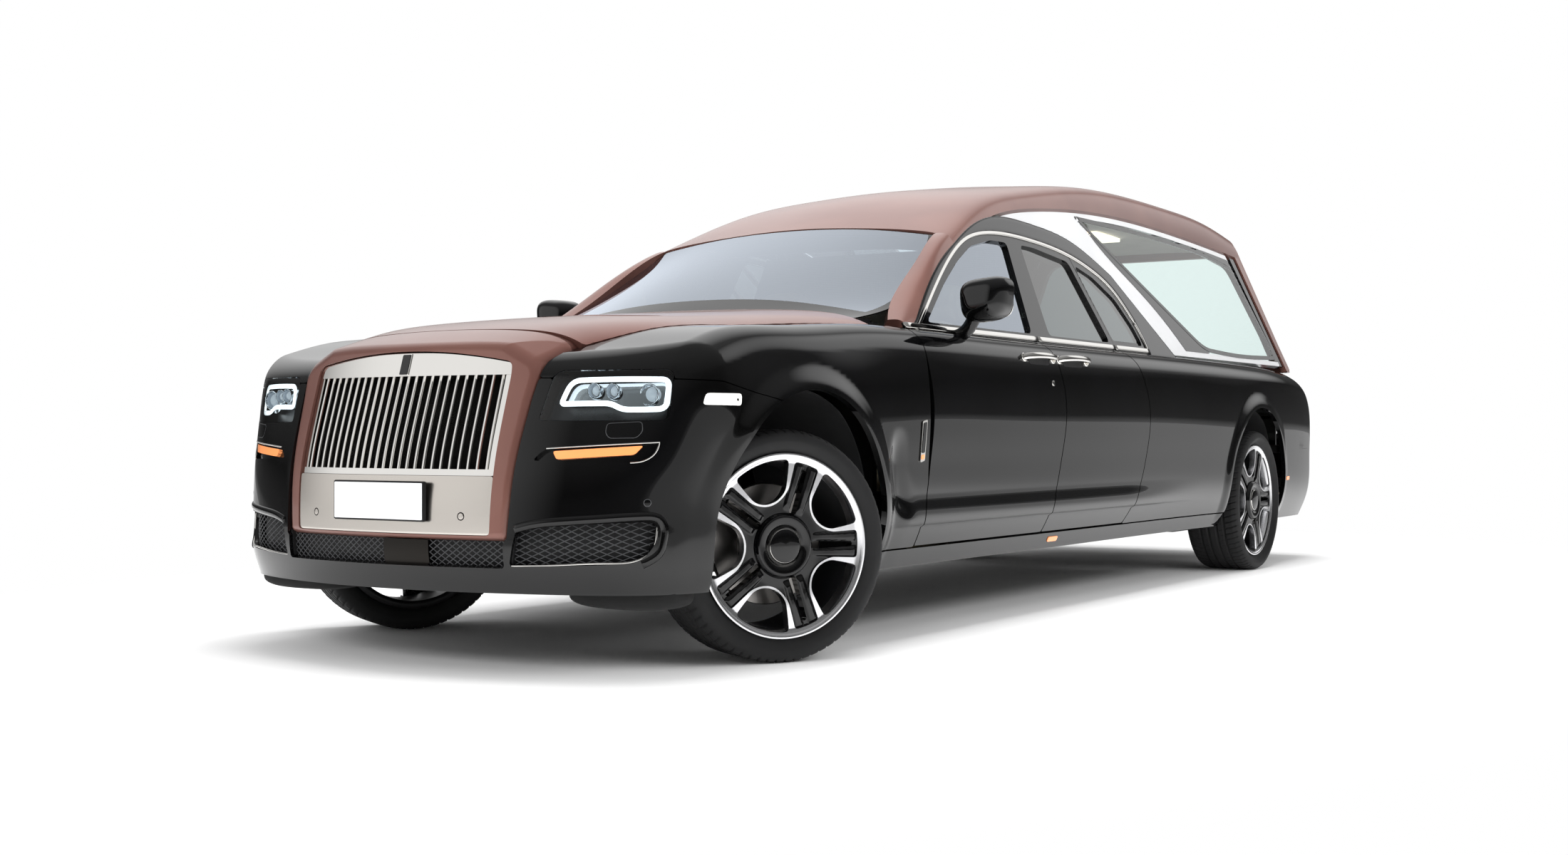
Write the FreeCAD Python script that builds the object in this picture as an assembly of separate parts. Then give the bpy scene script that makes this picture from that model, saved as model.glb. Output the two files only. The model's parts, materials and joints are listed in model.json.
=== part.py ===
import FreeCAD, Part
import math
import os

os.makedirs("parts", exist_ok=True)

V = FreeCAD.Vector

# ---------------------------------------------------------------------------
# A long-wheelbase hearse.  +Z is up, the nose points to -Y, +X is the car's
# left side.  The origin is on the floor below the middle of the car.
# Lengths are millimetres.  "Station" means the distance behind a datum line
# that lies NOSE_OVERHANG behind the front bumper; at() turns it into a Y.
# ---------------------------------------------------------------------------

# overall
LENGTH = 6540.0
NOSE_OVERHANG = 870.0

# wheels and steering
FRONT_AXLE = 34.0            # station of the front axle with the wheels straight
REAR_AXLE = 4439.0           # station of the rear axle
TYRE_R = 360.0
TYRE_FRONT_W = 255.0
TYRE_REAR_W = 280.0
RIM_R = 287.0
KINGPIN_X = 750.0            # half distance between the steering axes
KINGPIN_OFFSET = 70.0        # from the steering axis out to the wheel's middle
REAR_TRACK_HALF = 826.0
STEER_REST = 28.8            # degrees that the front wheels are turned at rest
ARCH_R = 474.0
REAR_ARCH_R = 470.0
ARCH_X = (300.0, 1200.0)      # width range of the blocks that cut the arches
ARCH_RISE = 8.0              # arch centre above the wheel centre

# gaps and walls
GAP = 6.0                    # shut gap between panels
SEAT = 0.3                   # clearance of a piece seated in its carrier
DOOR_T = 85.0                # thickness of a door below the belt
FRAME_T = 36.0               # thickness of window frames, rails and bands
SKIN_T = 30.0                # thickness of hood and fender tops
FENDER_T = 60.0
ROOF_T = 45.0
GLASS_T = 6.0
BUMPER_T = 70.0
DOOR_PLUG = 200.0
EDGE_TAPER = 0.25            # how much a door's edges close in per depth

# heights
BODY_BOTTOM_Z = 245.0
DOOR_BOTTOM_Z = 314.0
CREASE_Z = 390.0
FLOOR_TOP_Z = 290.0
FLOOR_T = 50.0
DECK_Z = 640.0
BELT_Z = 1062.0

# the side above the belt is one plane that leans in
SIDE_X = 930.0               # half width of that plane ...
SIDE_Z = 950.0               # ... at this height
SIDE_LEAN = 0.42             # inward per upward


def at(station):
    """Y of a station."""
    return -LENGTH / 2 + NOSE_OVERHANG + station


def side_x(z):
    """Half width of the leaning side plane at a height."""
    return SIDE_X - SIDE_LEAN * (z - SIDE_Z)


# Cross-sections of the body below the belt.
# station, sill x, low x (crease), mid x, mid z, shoulder x, shoulder z,
# belt x, belt z, hood edge x, hood edge z, centre z
LOWER = [
    (-870, 850, 900, 912, 700, 882, 855, 735, 898, 490, 900, 925),
    (-580, 880, 925, 938, 720, 914, 895, 760, 948, 505, 952, 1022),
    (-300, 888, 935, 955, 745, 915, 920, 770, 1008, 598, 1026, 1072),
    (0, 892, 942, 968, 765, 938, 930, 800, 1032, 655, 1050, 1103),
    (400, 888, 938, 965, 785, 942, 940, 845, 1050, 730, 1073, 1136),
    (770, 885, 938, 965, 800, 946, 945, 886, 1062, 800, 1090, 1158),
    (2000, 885, 940, 966, 800, 948, 945, 886, 1066, 800, 1070, 1072),
    (3400, 885, 940, 967, 790, 948, 940, 886, 1066, 800, 1070, 1072),
    (4440, 900, 950, 974, 775, 952, 930, 884, 1058, 790, 1062, 1066),
    (5000, 890, 935, 962, 760, 940, 930, 878, 1048, 770, 1052, 1055),
    (5350, 880, 920, 945, 745, 908, 925, 830, 1010, 720, 1020, 1028),
    (5670, 850, 890, 915, 740, 860, 880, 760, 955, 600, 970, 985),
]

# Roof cross-sections above the side plane.
# station, cant z (lower edge, on the side plane), edge x, edge z, mid z, crown z
ROOF = [
    (1440, 1440, 640, 1482, 1518, 1532),
    (1940, 1602, 585, 1668, 1703, 1717),
    (2400, 1680, 560, 1756, 1790, 1804),
    (3170, 1742, 540, 1850, 1884, 1900),
    (4260, 1738, 545, 1870, 1898, 1912),
    (4830, 1712, 553, 1846, 1872, 1886),
    (5150, 1690, 559, 1803, 1829, 1843),
]
ROOF_MID_X = 330.0

# Nose: height, foremost station of the bumper skin, half width at which it has turned to the side.
NOSE = [(245, -835, 975), (330, -864, 975), (450, -866, 975), (600, -848, 990), (760, -800, 1030),
        (880, -755, 1065), (1120, -650, 1080)]
# The same for the taller, rounder front of the grille and its surround.
GRILLE_FRONT = [(380, -862, 975), (590, -850, 990), (950, -748, 1070), (1060, -716, 1080)]
# Tail: the same for the rearmost station of the tail skin.
TAIL = [(245, 5560, 975), (330, 5640, 975), (560, 5668, 975), (800, 5660, 975), (930, 5610, 975),
        (1010, 5480, 975), (1120, 5300, 975)]
PLAN_X = [0.0, 250.0, 450.0, 620.0, 760.0, 860.0, 925.0, 965.0]
PLAN_EDGE_X = 990.0          # half width of the blocks that trim nose and tail
PLAN_EDGE_L = 60.0
# how far nose and tail fall back at the full half width: gently, and in the last tight turn
NOSE_BOW = (280.0, 350.0, 12)
TAIL_BOW = (40.0, 250.0, 20)
NOSE_REACH = 1400.0          # inner ends of those blocks
TAIL_REACH = 2400.0

# Panel outlines on the side, as (station, z) points.
DOOR_TOP_Z = BELT_Z + 60.0   # the outlines run on past the belt, where the wall ends
FRONT_SHUT = [(765, DOOR_BOTTOM_Z), (830, 775), (764, DOOR_TOP_Z)]
MIDDLE_SHUT = [(1818, DOOR_BOTTOM_Z), (1908, 536), (1957, 886), (1855, DOOR_TOP_Z)]
REAR_SHUT = [(2669, DOOR_BOTTOM_Z), (2787, 464), (2879, 851), (2667, DOOR_TOP_Z)]
MIDDLE_TOP = (2020, 1520)
QUARTER_TOP = (2572, 1487)
FRONT_FRAME = [(850, BELT_Z), (909, 1100), (1197, 1283), (1400, 1392), (1576, 1470), (1798, 1513)]
REAR_FRAME = [MIDDLE_TOP, (2215, 1520), QUARTER_TOP]
FRONT_PANE = [(975, 1108), (1215, 1258), (1410, 1362), (1590, 1440), (1800, 1481), (1955, 1487),
              (1852, 1108)]
REAR_PANE = [(2022, 1108), (2086, 1489), (2215, 1489), (2545, 1455), (2664, 1108)]
QUARTER_PANE = [(2716, 1108), (2602, 1445), (2765, 1400), (2935, 1310), (3025, 1190), (3055, 1108)]
RAIL_FOOT_Z = BELT_Z + 8.0
RAIL_TOP = [(812, RAIL_FOOT_Z + 4), (885, 1112), (1200, 1320), (1440, 1432), (1600, 1505), (1941, 1597),
            (2300, 1600), (2700, 1552), (3000, 1432), (3440, BELT_Z)]
RAIL_OVERLAP = 30.0
RAIL_STEP_S = 2745.0
CARGO_PANE = [(2831, 1690), (4521, 1675), (4930, 1630), (5060, 1115), (3930, 1115), (3287, 1454)]
FRONT_GRIP = (1600, 1840)    # stations of the handles
REAR_GRIP = (1965, 2205)
HANDLE_X = 990.0
HANDLE_T = 14.0
HANDLE_FOOT_X = 925.0
HANDLE_FOOT = 25.0
HANDLE_Z = 962.0
HANDLE_H = 26.0
TAILGATE_X = 690.0           # half width of the tailgate below the belt
QUARTER_START = 2500.0
TAIL_S = 5670.0
TAIL_LAMP_S = 5300.0
TAIL_LAMP_Z = (700.0, 930.0)
GATE_CUT_S = 5100.0
GATE_EDGE = 4.0

# cutting blocks: beyond every panel, and inside of every side wall
CUT_X = 1000.0
CUT_MARGIN = 5.0
INNER_CUT_X = 700.0
NOSE_CUT = (-900.0, -300.0)
TAIL_END = 5700.0

# roof pillars, windscreen
REAR_PILLAR = [(5095, 1700), (5150, 1700), (5235, 1030), (5170, 1030)]
FRONT_PILLAR = [(820, 1066, 790, 1108), (885, 1112, 752, 1155), (1200, 1320, 690, 1350),
                (1440, 1436, 642, 1478), (1500, 1462, 630, 1492)]      # station, outer z, inner x, inner z
PILLAR_FOOT = 28.0
PILLAR_FOOT_CUT = (700.0, 1100.0)
TONGUE_HALF = 30.0           # two tongues that carry the tailgate's hinge
TONGUE_L = 20.0
TONGUE_LOW = 36.0
TONGUE_HIGH = 10.0
LEAF_X = (862.0, 880.0)      # door hinge leaves, behind the skin
LEAF_Z = (400.0, 840.0)
LEAF_H = 40.0
FRONT_LEAF = (740.0, 1000.0)
REAR_LEAF = (2600.0, 2960.0)
REAR_LEAF_X = (862.0, 940.0)
HINGE_PILLAR_X = (800.0, 872.0)
HINGE_PILLAR_S = (690.0, 755.0)
HINGE_HEAD_X = (800.0, 855.0)
HINGE_HEAD_S = (690.0, 850.0)
HINGE_HEAD_H = 14.0
PILLAR_LINK = (590.0, 655.0, 2000.0, 2070.0, 1530.0, 1600.0)     # x, station and z ranges
# height, inner x, outer x, front station, rear station of the post behind the doors
MIDDLE_PILLAR = [(FLOOR_TOP_Z, 740, 790, 1860, 1960), (BELT_Z, 740, 790, 1870, 1970),
                 (1600, 545, 610, 2000, 2070)]
SCREEN = [(705, 560, 1128, 330, 1146, 1154), (860, 752, 1146, 400, 1214, 1238),
          (1438, 645, 1474, 380, 1508, 1530)]   # station, edge x, edge z, mid x, mid z, centre z
SILL_TOP_Z = DOOR_BOTTOM_Z - GAP / 2
BUMPER_SEAM = 5276.0
REAR_BUMPER_TOP_Z = 619.0

# nose outlines, as (x, z) or (station, z) points
SURROUND_OUTER = [(0.0, 392), (440, 398), (455, 420), (478, 640), (503, 915), (492, 948), (300, 992),
                  (0.0, 1022)]
GRILLE_OPENING = [(0.0, 411), (392, 411), (405, 585), (412, 880), (405, 905), (250, 938), (0.0, 953)]
GRILLE_HEADER = [(0.0, 880), (409, 880), (403, 903), (249, 936), (0.0, 951)]
GRILLE_POST = [(380, 595), (402, 595), (408.5, 885), (380, 885)]
PLATE_PANEL_TOP = 584.0
PLATE_PANEL = [(0.0, 411.5), (391, 411.5), (403, PLATE_PANEL_TOP), (0.0, PLATE_PANEL_TOP)]
GRILLE_FOOT_Z = PLATE_PANEL_TOP + SEAT
GRILLE_FOOT = [(0.0, GRILLE_FOOT_Z), (402, GRILLE_FOOT_Z), (402, 602), (0.0, 602)]
HEADLAMP = [(514, 905), (522, 800), (567, 770), (884, 765), (932, 800), (938, 862), (912, 898)]
INDICATOR = [(604, 652), (824, 652), (866, 690), (604, 684)]
INTAKE_MIDDLE = [(0.0, 309), (440, 309), (440, 391), (0.0, 391)]
INTAKE_SIDE = [(462, 312), (790, 318), (838, 405), (800, 428), (462, 425)]
BUMPER_SIDE = [(-900, 200), (-60, 200), (-60, 780), (-120, 795), (-425, 857), (-900, 872)]
VANES = 24
VANE_SPAN = 366.0            # from the middle to the outermost vane
VANE_W = 9.0
VANE_Z = (598.0, 884.0)
SURROUND_DEPTH = 150.0
GRILLE_DEPTH = 60.0
GRILLE_CUT_END = -500.0
GRILLE_FACE = 6.0            # header, posts and foot behind the surround's front
VANE_FACE = 14.0
VANE_DEPTH = 50.0
NOSE_BODY_END = 100.0
MESH_DEPTH = 28.0
MESH_T = 8.0
MESH_TOP_Z = 700.0
LAMP_DEPTH = 100.0
FLASHER_DEPTH = 30.0
FENDER_S = (-640.0, 775.0)
FENDER_PLUG = 400.0
HOOD_FRONT = -560.0
HOOD_REAR = 690.0
HOOD_GAP = 8.0
HOOD_MID = 0.55              # share of the hood's half width where its section bends ...
HOOD_CROWN = 0.32            # ... and its share of the drop there
PLATE_W = 368.0
PLATE_H = 118.0
PLATE_Z = 448.0
PLATE_T = 14.0
PLATE_PANEL_FACE = 3.0
PLATE_PANEL_DEPTH = 45.0
REAR_PLATE_W = 520.0
REAR_PLATE_Z = 700.0
REAR_PLATE_T = 12.0

# under the body; boxes are x, station and z ranges
RADIATOR = (-375.0, 375.0, -650.0, -600.0, 400.0, 860.0)
SILL_START = 440.0
SILL_END = 3990.0
FLOOR_HALF = 832.0
RAIL_IN = 360.0              # front frame rails, inner and outer half widths
RAIL_OUT = 430.0
RAIL_TOP_Z = 400.0
CROSSBEAM_X = 560.0
REAR_FLOOR_Z = 450.0
REAR_FLOOR_X = 600.0
FLOOR_BOXES = [
    (-FLOOR_HALF, FLOOR_HALF, 560, 3900, FLOOR_TOP_Z - FLOOR_T, FLOOR_TOP_Z),
    (-RAIL_OUT, -RAIL_IN, -600, 700, FLOOR_TOP_Z - FLOOR_T, RAIL_TOP_Z),
    (RAIL_IN, RAIL_OUT, -600, 700, FLOOR_TOP_Z - FLOOR_T, RAIL_TOP_Z),
    (-CROSSBEAM_X, CROSSBEAM_X, -636, -570, FLOOR_TOP_Z + 10, RAIL_TOP_Z - 30),
    (-FLOOR_HALF, FLOOR_HALF, 3870, 3900, FLOOR_TOP_Z - FLOOR_T, REAR_FLOOR_Z),
    (-REAR_FLOOR_X, REAR_FLOOR_X, 3870, 5560, REAR_FLOOR_Z - FLOOR_T, REAR_FLOOR_Z),
    (-FLOOR_HALF, FLOOR_HALF, 5500, 5560, REAR_FLOOR_Z - FLOOR_T, REAR_FLOOR_Z)]
FIREWALL_X = 790.0
COWL_X = 730.0
FIREWALL_BOXES = [(-FIREWALL_X, FIREWALL_X, 700, 730, FLOOR_TOP_Z, 1090),
                  (-COWL_X, COWL_X, 700, 790, 1060, 1110)]
HORN_X = 590.0               # two rests for the hood on the firewall
HORN_W = 50.0
HORN_L = 40.0
HORN_SHELF_Z = (1030.0, 1055.0)
HORN_POST_L = 20.0
HORN_POST_TOP = 1140.0
EXHAUST_X = 260.0
EXHAUST_R = 30.0
EXHAUST_Z = 205.0
EXHAUST_S = (760.0, 5000.0)
SILENCER_HALF = 110.0
SILENCER_S = (4780.0, 5260.0)
SILENCER_Z = (160.0, 265.0)
HANGER_HALF = 8.0
HANGER_L = 30.0
# station and upper end of each hanger
HANGERS = [(1100, FLOOR_TOP_Z - FLOOR_T), (2900, FLOOR_TOP_Z - FLOOR_T), (5000, REAR_FLOOR_Z - FLOOR_T)]

# wheels
RIM_W = 240.0
RIM_SEAT_R = 268.0
BARREL_R = 256.0
FLANGE_T = 12.0
SPOKES = 5
SPOKE_W = 24.0
SPOKE_T = 30.0
SPOKE_GAP = 22.0             # half distance between the two bars of a pair, at the hub
SPOKE_SPREAD = 3.0           # degrees that each bar turns away from its pair's middle
SPOKE_FACE = 12.0            # spokes behind the rim's outer edge
HUB_R = 92.0
NECK_R = 60.0
SPOKE_START_R = 70.0
CAP_PROFILE = [(-3.0, 0.0), (-3.0, 80.0), (10.0, 66.0), (14.0, 0.0)]    # out from the hub's face, radius
DISC_R = 190.0
DISC_X = -28.0               # inner face of the brake disc from the wheel's middle
DISC_T = 22.0
STUB_END = 8.0               # gap from the stub axle's end to the wheel's face
STUB_R = 28.0
HUB_BORE_R = STUB_R + 0.05
KINGPIN_R = 20.0
KINGPIN_HALF = 150.0
PIN_CLEAR = 0.05
ARM_T = 26.0
ARM_FOOT = 110.0
AXLE_TUBE_R = 38.0
DIFF_HALF = 140.0
SPRING_X = 520.0
SPRING_HALF = (40.0, 60.0)
EYE_WALL = 12.0
LINER_T = 5.0
LINER_X = 940.0
LINER_FOOT = 40.0

# tail outlines
GATE_FOOT_Z = 1042.0         # underside of the tailgate's frame outside its lower panel
GATE_LOWER = [(5247, 1100), (5700, 1100), (5700, 625), (5600, 625), (5600, 900), (5440, 960), (5247, 985)]
GATE_FRONT = 5156.0          # station of the tailgate's front face at the roof
GATE_UPPER = [(GATE_FRONT, 1870), (GATE_FRONT, 1752), (5243, 1000), (5298, 1000), (5211, 1752), (5205, 1870)]
GATE_GLASS = [(5181, 1752), (5268, 1000), (5274, 1000), (5187, 1752)]
GATE_PANE = [(-790, 1085), (790, 1085), (560, 1660), (500, 1710), (-500, 1710), (-560, 1660)]

# interior
SEAT_PLACES = [(390.0, 1520.0), (-390.0, 1520.0)]   # x, station
SEAT_W = 540.0
# one seat from the side: distance behind its place, z
SEAT_PROFILE = [(-330, FLOOR_TOP_Z), (230, FLOOR_TOP_Z), (400, 900), (470, 1120), (440, 1160), (390, 1120),
                (200, 560), (-330, 600), (-360, 540)]
HEADREST_PROFILE = [(400, 1130), (470, 1100), (520, 1330), (430, 1350)]
HEADREST_SHARE = 0.55
LINING_X = 640.0
LINING_T = 20.0
LINING_S = (2170.0, 5225.0)
SHELF_X = 838.0
SHELF_Z = 880.0
PARTITION = [(800, FLOOR_TOP_Z), (830, 860), (780, BELT_Z), (600, 1500)]       # x, z
PARTITION_S = (2160.0, 2190.0)
LEG_X = 500.0
LEG_HALF = 15.0
LEGS = [(2190, 3870, FLOOR_TOP_Z), (3860, 5200, REAR_FLOOR_Z)]                 # start, end, foot z
DASH_X = 770.0
DASH_PROFILE = [(730, 700), (980, 700), (1060, 820), (1060, 960), (980, 1030), (790, 1050), (730, 1050)]
STEERING_R = 180.0
STEERING_BAR_R = 15.0
STEERING_PLACE = (1210.0, 930.0)                    # station, z
STEERING_AIM = (0.9, 0.42)                          # rearward and up along the column
COLUMN_R = 30.0
COLUMN_L = 260.0
STEERING_SPOKE = (178.0, 1200.0, 1222.0, 915.0, 945.0)   # half width, station and z ranges
MIRROR_FOOT = (872.0, 942.0, 1130.0, 1200.0, BELT_Z - 12.0, 1150.0)
# mirror housing: station, then x and z of its corners
MIRROR_ENDS = [(1090, (945, 1140), (1062, 1150), (1052, 1235), (955, 1250)),
               (1225, (925, 1125), (1092, 1140), (1092, 1250), (930, 1268))]
ENGINE = (600.0, 950.0, 620.0)                      # width, length, height
ENGINE_STATION = -330.0
ENGINE_Z = 330.0
ENGINE_FEET = (FRONT_AXLE - 250.0, FRONT_AXLE + 350.0)
ENGINE_FOOT_L = 90.0
ENGINE_FOOT_DROP = 20.0


# ---------------------------------------------------------------------------
# helpers
# ---------------------------------------------------------------------------

def between(rows, station):
    """A table row worked out at a station between two rows."""
    if station <= rows[0][0]:
        return (station,) + tuple(rows[0][1:])
    for low, high in zip(rows, rows[1:]):
        if station <= high[0]:
            share = (station - low[0]) / (high[0] - low[0])
            return tuple(a + share * (b - a) for a, b in zip(low, high))
    return (station,) + tuple(rows[-1][1:])


def stations(rows, start, end):
    """The stations of a table from start to end, both included."""
    inner = [row[0] for row in rows if start + 20 < row[0] < end - 20]
    return [start] + inner + [end]


def wire(points):
    """A closed polygon through 3-D points."""
    vectors = [V(*point) for point in points]
    return Part.makePolygon(vectors + vectors[:1])


def loft(sections):
    """A ruled solid through closed polygons of equal count."""
    solid = Part.makeLoft([wire(points) for points in sections], True, True)
    if solid.Volume < 0:
        solid.reverse()
    return solid


def box(x0, x1, y0, y1, z0, z1):
    return Part.makeBox(x1 - x0, y1 - y0, z1 - z0, V(x0, y0, z0))


def block(ranges):
    """A box from its x, station and z ranges in one row."""
    x0, x1, start, end, z0, z1 = ranges
    return box(x0, x1, at(start), at(end), z0, z1)


def prism_x(outline, x0, x1):
    """An outline of (station, z) points, extruded from x0 to x1."""
    return Part.Face(wire([(x0, at(s), z) for s, z in outline])).extrude(V(x1 - x0, 0, 0))


def inset(points, distance):
    """A polygon with every edge moved inwards by a distance."""
    count = len(points)
    area = sum(points[i][0] * points[(i + 1) % count][1] - points[(i + 1) % count][0] * points[i][1]
               for i in range(count))
    turn = 1.0 if area > 0 else -1.0
    edges = []
    for i in range(count):
        (ax, ay), (bx, by) = points[i], points[(i + 1) % count]
        size = math.hypot(bx - ax, by - ay)
        nx, ny = -(by - ay) / size * turn, (bx - ax) / size * turn
        edges.append((ax + nx * distance, ay + ny * distance, bx - ax, by - ay))
    result = []
    for i in range(count):
        px, py, pu, pv = edges[i - 1]
        qx, qy, qu, qv = edges[i]
        cross = pu * qv - pv * qu
        if abs(cross) < 1e-6 * math.hypot(pu, pv) * math.hypot(qu, qv):
            result.append((qx, qy))
            continue
        along = ((qx - px) * qv - (qy - py) * qu) / cross
        result.append((px + along * pu, py + along * pv))
    return result


def mirrored(shape):
    return shape.mirror(V(0, 0, 0), V(1, 0, 0))


def plug_x(outline, x0, x1, taper):
    """An outline extruded inwards from x0 to x1 whose edges close in."""
    inner = inset(outline, taper * abs(x0 - x1))
    return loft([[(x0, at(s), z) for s, z in outline], [(x1, at(s), z) for s, z in inner]])


def leaning(outline, depth0, depth1, taper=0.0):
    """A slab along the leaning side plane, from depth0 to depth1 below it."""
    inner = inset(outline, taper * (depth1 - depth0)) if taper else outline
    return loft([[(side_x(z) - depth0, at(s), z) for s, z in outline],
                 [(side_x(z) - depth1, at(s), z) for s, z in inner]])


def lower_chain(row, names):
    """Points of a LOWER cross-section, from the belt down to the sill."""
    points = {
        "hood": (row[9], row[10]), "belt": (row[7], row[8]), "shoulder": (row[5], row[6]),
        "mid": (row[3], row[4]), "low": (row[2], CREASE_Z), "sill": (row[1], BODY_BOTTOM_Z)}
    return [points[name] for name in names]


def side_wall(start, end, names, thickness, lift=0.0):
    """A wall of the body side: the named chain, with its inner face moved in."""
    sections = []
    for station in stations(LOWER, start, end):
        chain = lower_chain(between(LOWER, station), names)
        inner = [(x if name == "hood" else x - thickness, z - (lift if name in ("hood", "belt") else 0.0))
                 for (x, z), name in zip(chain, names)]
        ring = chain + inner[::-1]
        sections.append([(x, at(station), z) for x, z in ring])
    return loft(sections)


def plan_levels(table, sign, shift, top_z=2000.0):
    """A block with the plan outline of the nose (sign -1) or the tail (sign +1) at each height."""
    gentle, tight, power = NOSE_BOW if sign < 0 else TAIL_BOW
    reach = NOSE_REACH if sign < 0 else TAIL_REACH
    sections = []
    for z, station, turn_x in table:
        if z > top_z:
            continue
        front = []
        for x in PLAN_X:
            share = x / turn_x
            back = gentle * share ** 2 + tight * share ** power
            front.append((x * (1.0 - shift / turn_x), station - sign * (back + shift)))
        edge_x = PLAN_EDGE_X - shift
        half = front + [(edge_x, front[-1][1] - sign * PLAN_EDGE_L), (edge_x, reach)]
        ring = half + [(-x, s) for x, s in half[::-1] if x > 0.0]
        sections.append([(x, at(s), z) for x, s in ring])
    return loft(sections)


def cylinder_x(x0, x1, station, z, radius):
    return Part.makeCylinder(radius, x1 - x0, V(x0, at(station), z), V(1, 0, 0))


def fuse(shapes):
    """One shape from touching shapes, with its split faces joined."""
    result = shapes[0]
    for shape in shapes[1:]:
        result = result.fuse(shape)
    return result.removeSplitter()


def one(shape):
    """The largest solid of a shape, so that no crumb of a cut is left."""
    return max(shape.Solids, key=lambda solid: solid.Volume)


NODES = {}


def keep(name, *shapes):
    """Registers a node made of solids that don't touch."""
    NODES[name] = shapes[0] if len(shapes) == 1 else Part.makeCompound(list(shapes))


def keep_pair(name, shape):
    """Registers a left piece and its mirror image."""
    keep(name + "_left", shape)
    keep(name + "_right", mirrored(shape))


# ---------------------------------------------------------------------------
# master solids
# ---------------------------------------------------------------------------

WHEEL_Z = TYRE_R
nose_skin = plan_levels(NOSE, -1, 0.0)
nose_core = plan_levels(NOSE, -1, BUMPER_T)
tail_skin = plan_levels(TAIL, 1, 0.0)
tail_core = plan_levels(TAIL, 1, BUMPER_T)
front_arch = cylinder_x(*ARCH_X, FRONT_AXLE, WHEEL_Z + ARCH_RISE, ARCH_R)
rear_arch = cylinder_x(*ARCH_X, REAR_AXLE, WHEEL_Z + ARCH_RISE, REAR_ARCH_R)


# ---------------------------------------------------------------------------
# doors
# ---------------------------------------------------------------------------

def handle(start, end):
    """A bar on two feet, standing off the door skin."""
    bar = box(HANDLE_X - HANDLE_T, HANDLE_X, at(start), at(end), HANDLE_Z, HANDLE_Z + HANDLE_H)
    feet = [box(HANDLE_FOOT_X, HANDLE_X - HANDLE_T / 2, at(foot), at(foot) + HANDLE_FOOT,
                HANDLE_Z, HANDLE_Z + HANDLE_H)
            for foot in (start + HANDLE_FOOT, end - 2 * HANDLE_FOOT)]
    return fuse([bar] + feet)


def door(name, outline, frame, pane, grip):
    """A door: thick wall below the belt, leaning frame above, glass and handle."""
    skin = side_wall(outline[0][0] - DOOR_PLUG, outline[-1][0] + 2 * DOOR_PLUG,
                     ["belt", "shoulder", "mid", "low", "sill"], DOOR_T)
    wall = one(skin.common(plug_x(inset(outline, GAP / 2), CUT_X, CUT_X - DOOR_PLUG, EDGE_TAPER)))
    upper = leaning(inset(frame, GAP / 2), 0.0, FRAME_T, EDGE_TAPER)
    upper = upper.cut(leaning(pane, -CUT_MARGIN, FRAME_T + CUT_MARGIN))
    keep_pair(name, one(fuse([wall, upper, handle(*grip)])))
    glass = leaning(inset(pane, SEAT), FRAME_T / 2 - GLASS_T / 2, FRAME_T / 2 + GLASS_T / 2)
    keep_pair(name + "_glass", glass)


front_outline = FRONT_SHUT + MIDDLE_SHUT[::-1]
rear_outline = MIDDLE_SHUT + REAR_SHUT[::-1]
front_frame = FRONT_FRAME + [MIDDLE_TOP, (1910, 1100), (1880, 1040), (850, 1040)]
rear_frame = [(1880, 1040), (1910, 1100)] + REAR_FRAME + [(2714, BELT_Z), (2720, 1040)]
door("front_door", front_outline, front_frame, FRONT_PANE, FRONT_GRIP)
door("rear_door", rear_outline, rear_frame, REAR_PANE, REAR_GRIP)


# ---------------------------------------------------------------------------
# roof with both pairs of outer pillars, windscreen
# ---------------------------------------------------------------------------

def roof_section(row):
    """Closed ring of a roof cross-section, ROOF_T thick."""
    station, cant_z, edge_x, edge_z, mid_z, crown_z = row
    half = [(side_x(cant_z), cant_z), (edge_x, edge_z), (ROOF_MID_X, mid_z), (0.0, crown_z)]
    under = [(side_x(cant_z) - ROOF_T, cant_z), (edge_x - ROOF_T / 2, edge_z - ROOF_T),
             (ROOF_MID_X, mid_z - ROOF_T), (0.0, crown_z - ROOF_T)]
    outer = half + [(-x, z) for x, z in half[-2::-1]]
    inner = under + [(-x, z) for x, z in under[-2::-1]]
    return [(x, at(station), z) for x, z in outer + inner[::-1]]


def front_pillar():
    """The left front pillar between the windscreen and the rail."""
    sections = []
    for station, out_z, in_x, in_z in FRONT_PILLAR:
        out_x = side_x(out_z)
        ring = [(out_x, out_z), (in_x, in_z), (in_x, in_z - ROOF_T), (out_x - PILLAR_FOOT, out_z - ROOF_T),
                (out_x - ROOF_T / 4, out_z - 2.0)]
        sections.append([(x, at(station), z) for x, z in ring])
    return loft(sections)


roof_shell = loft([roof_section(row) for row in ROOF])
front_pillar_left = front_pillar()
rear_pillar_left = leaning(REAR_PILLAR, 0.0, ROOF_T)
roof = one(fuse([roof_shell, front_pillar_left, mirrored(front_pillar_left),
                 rear_pillar_left, mirrored(rear_pillar_left)]))
roof = roof.cut(block((-CUT_X, CUT_X) + PILLAR_FOOT_CUT + (0, RAIL_FOOT_Z + HINGE_HEAD_H)))
frame_holes = [inset(front_frame, -GAP), inset(rear_frame, -GAP)]
for hole in frame_holes:
    opening = leaning(hole, -CUT_MARGIN, FRAME_T + GAP)
    roof = roof.cut(opening).cut(mirrored(opening))
for side in (-1, 1):
    tongue_x = side * ROOF_MID_X
    roof = roof.fuse(box(tongue_x - TONGUE_HALF, tongue_x + TONGUE_HALF, at(ROOF[-1][0] - TONGUE_L),
                         at(GATE_FRONT - SEAT), ROOF[-1][4] - TONGUE_LOW, ROOF[-1][4] - TONGUE_HIGH))
roof = one(roof.removeSplitter())


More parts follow.
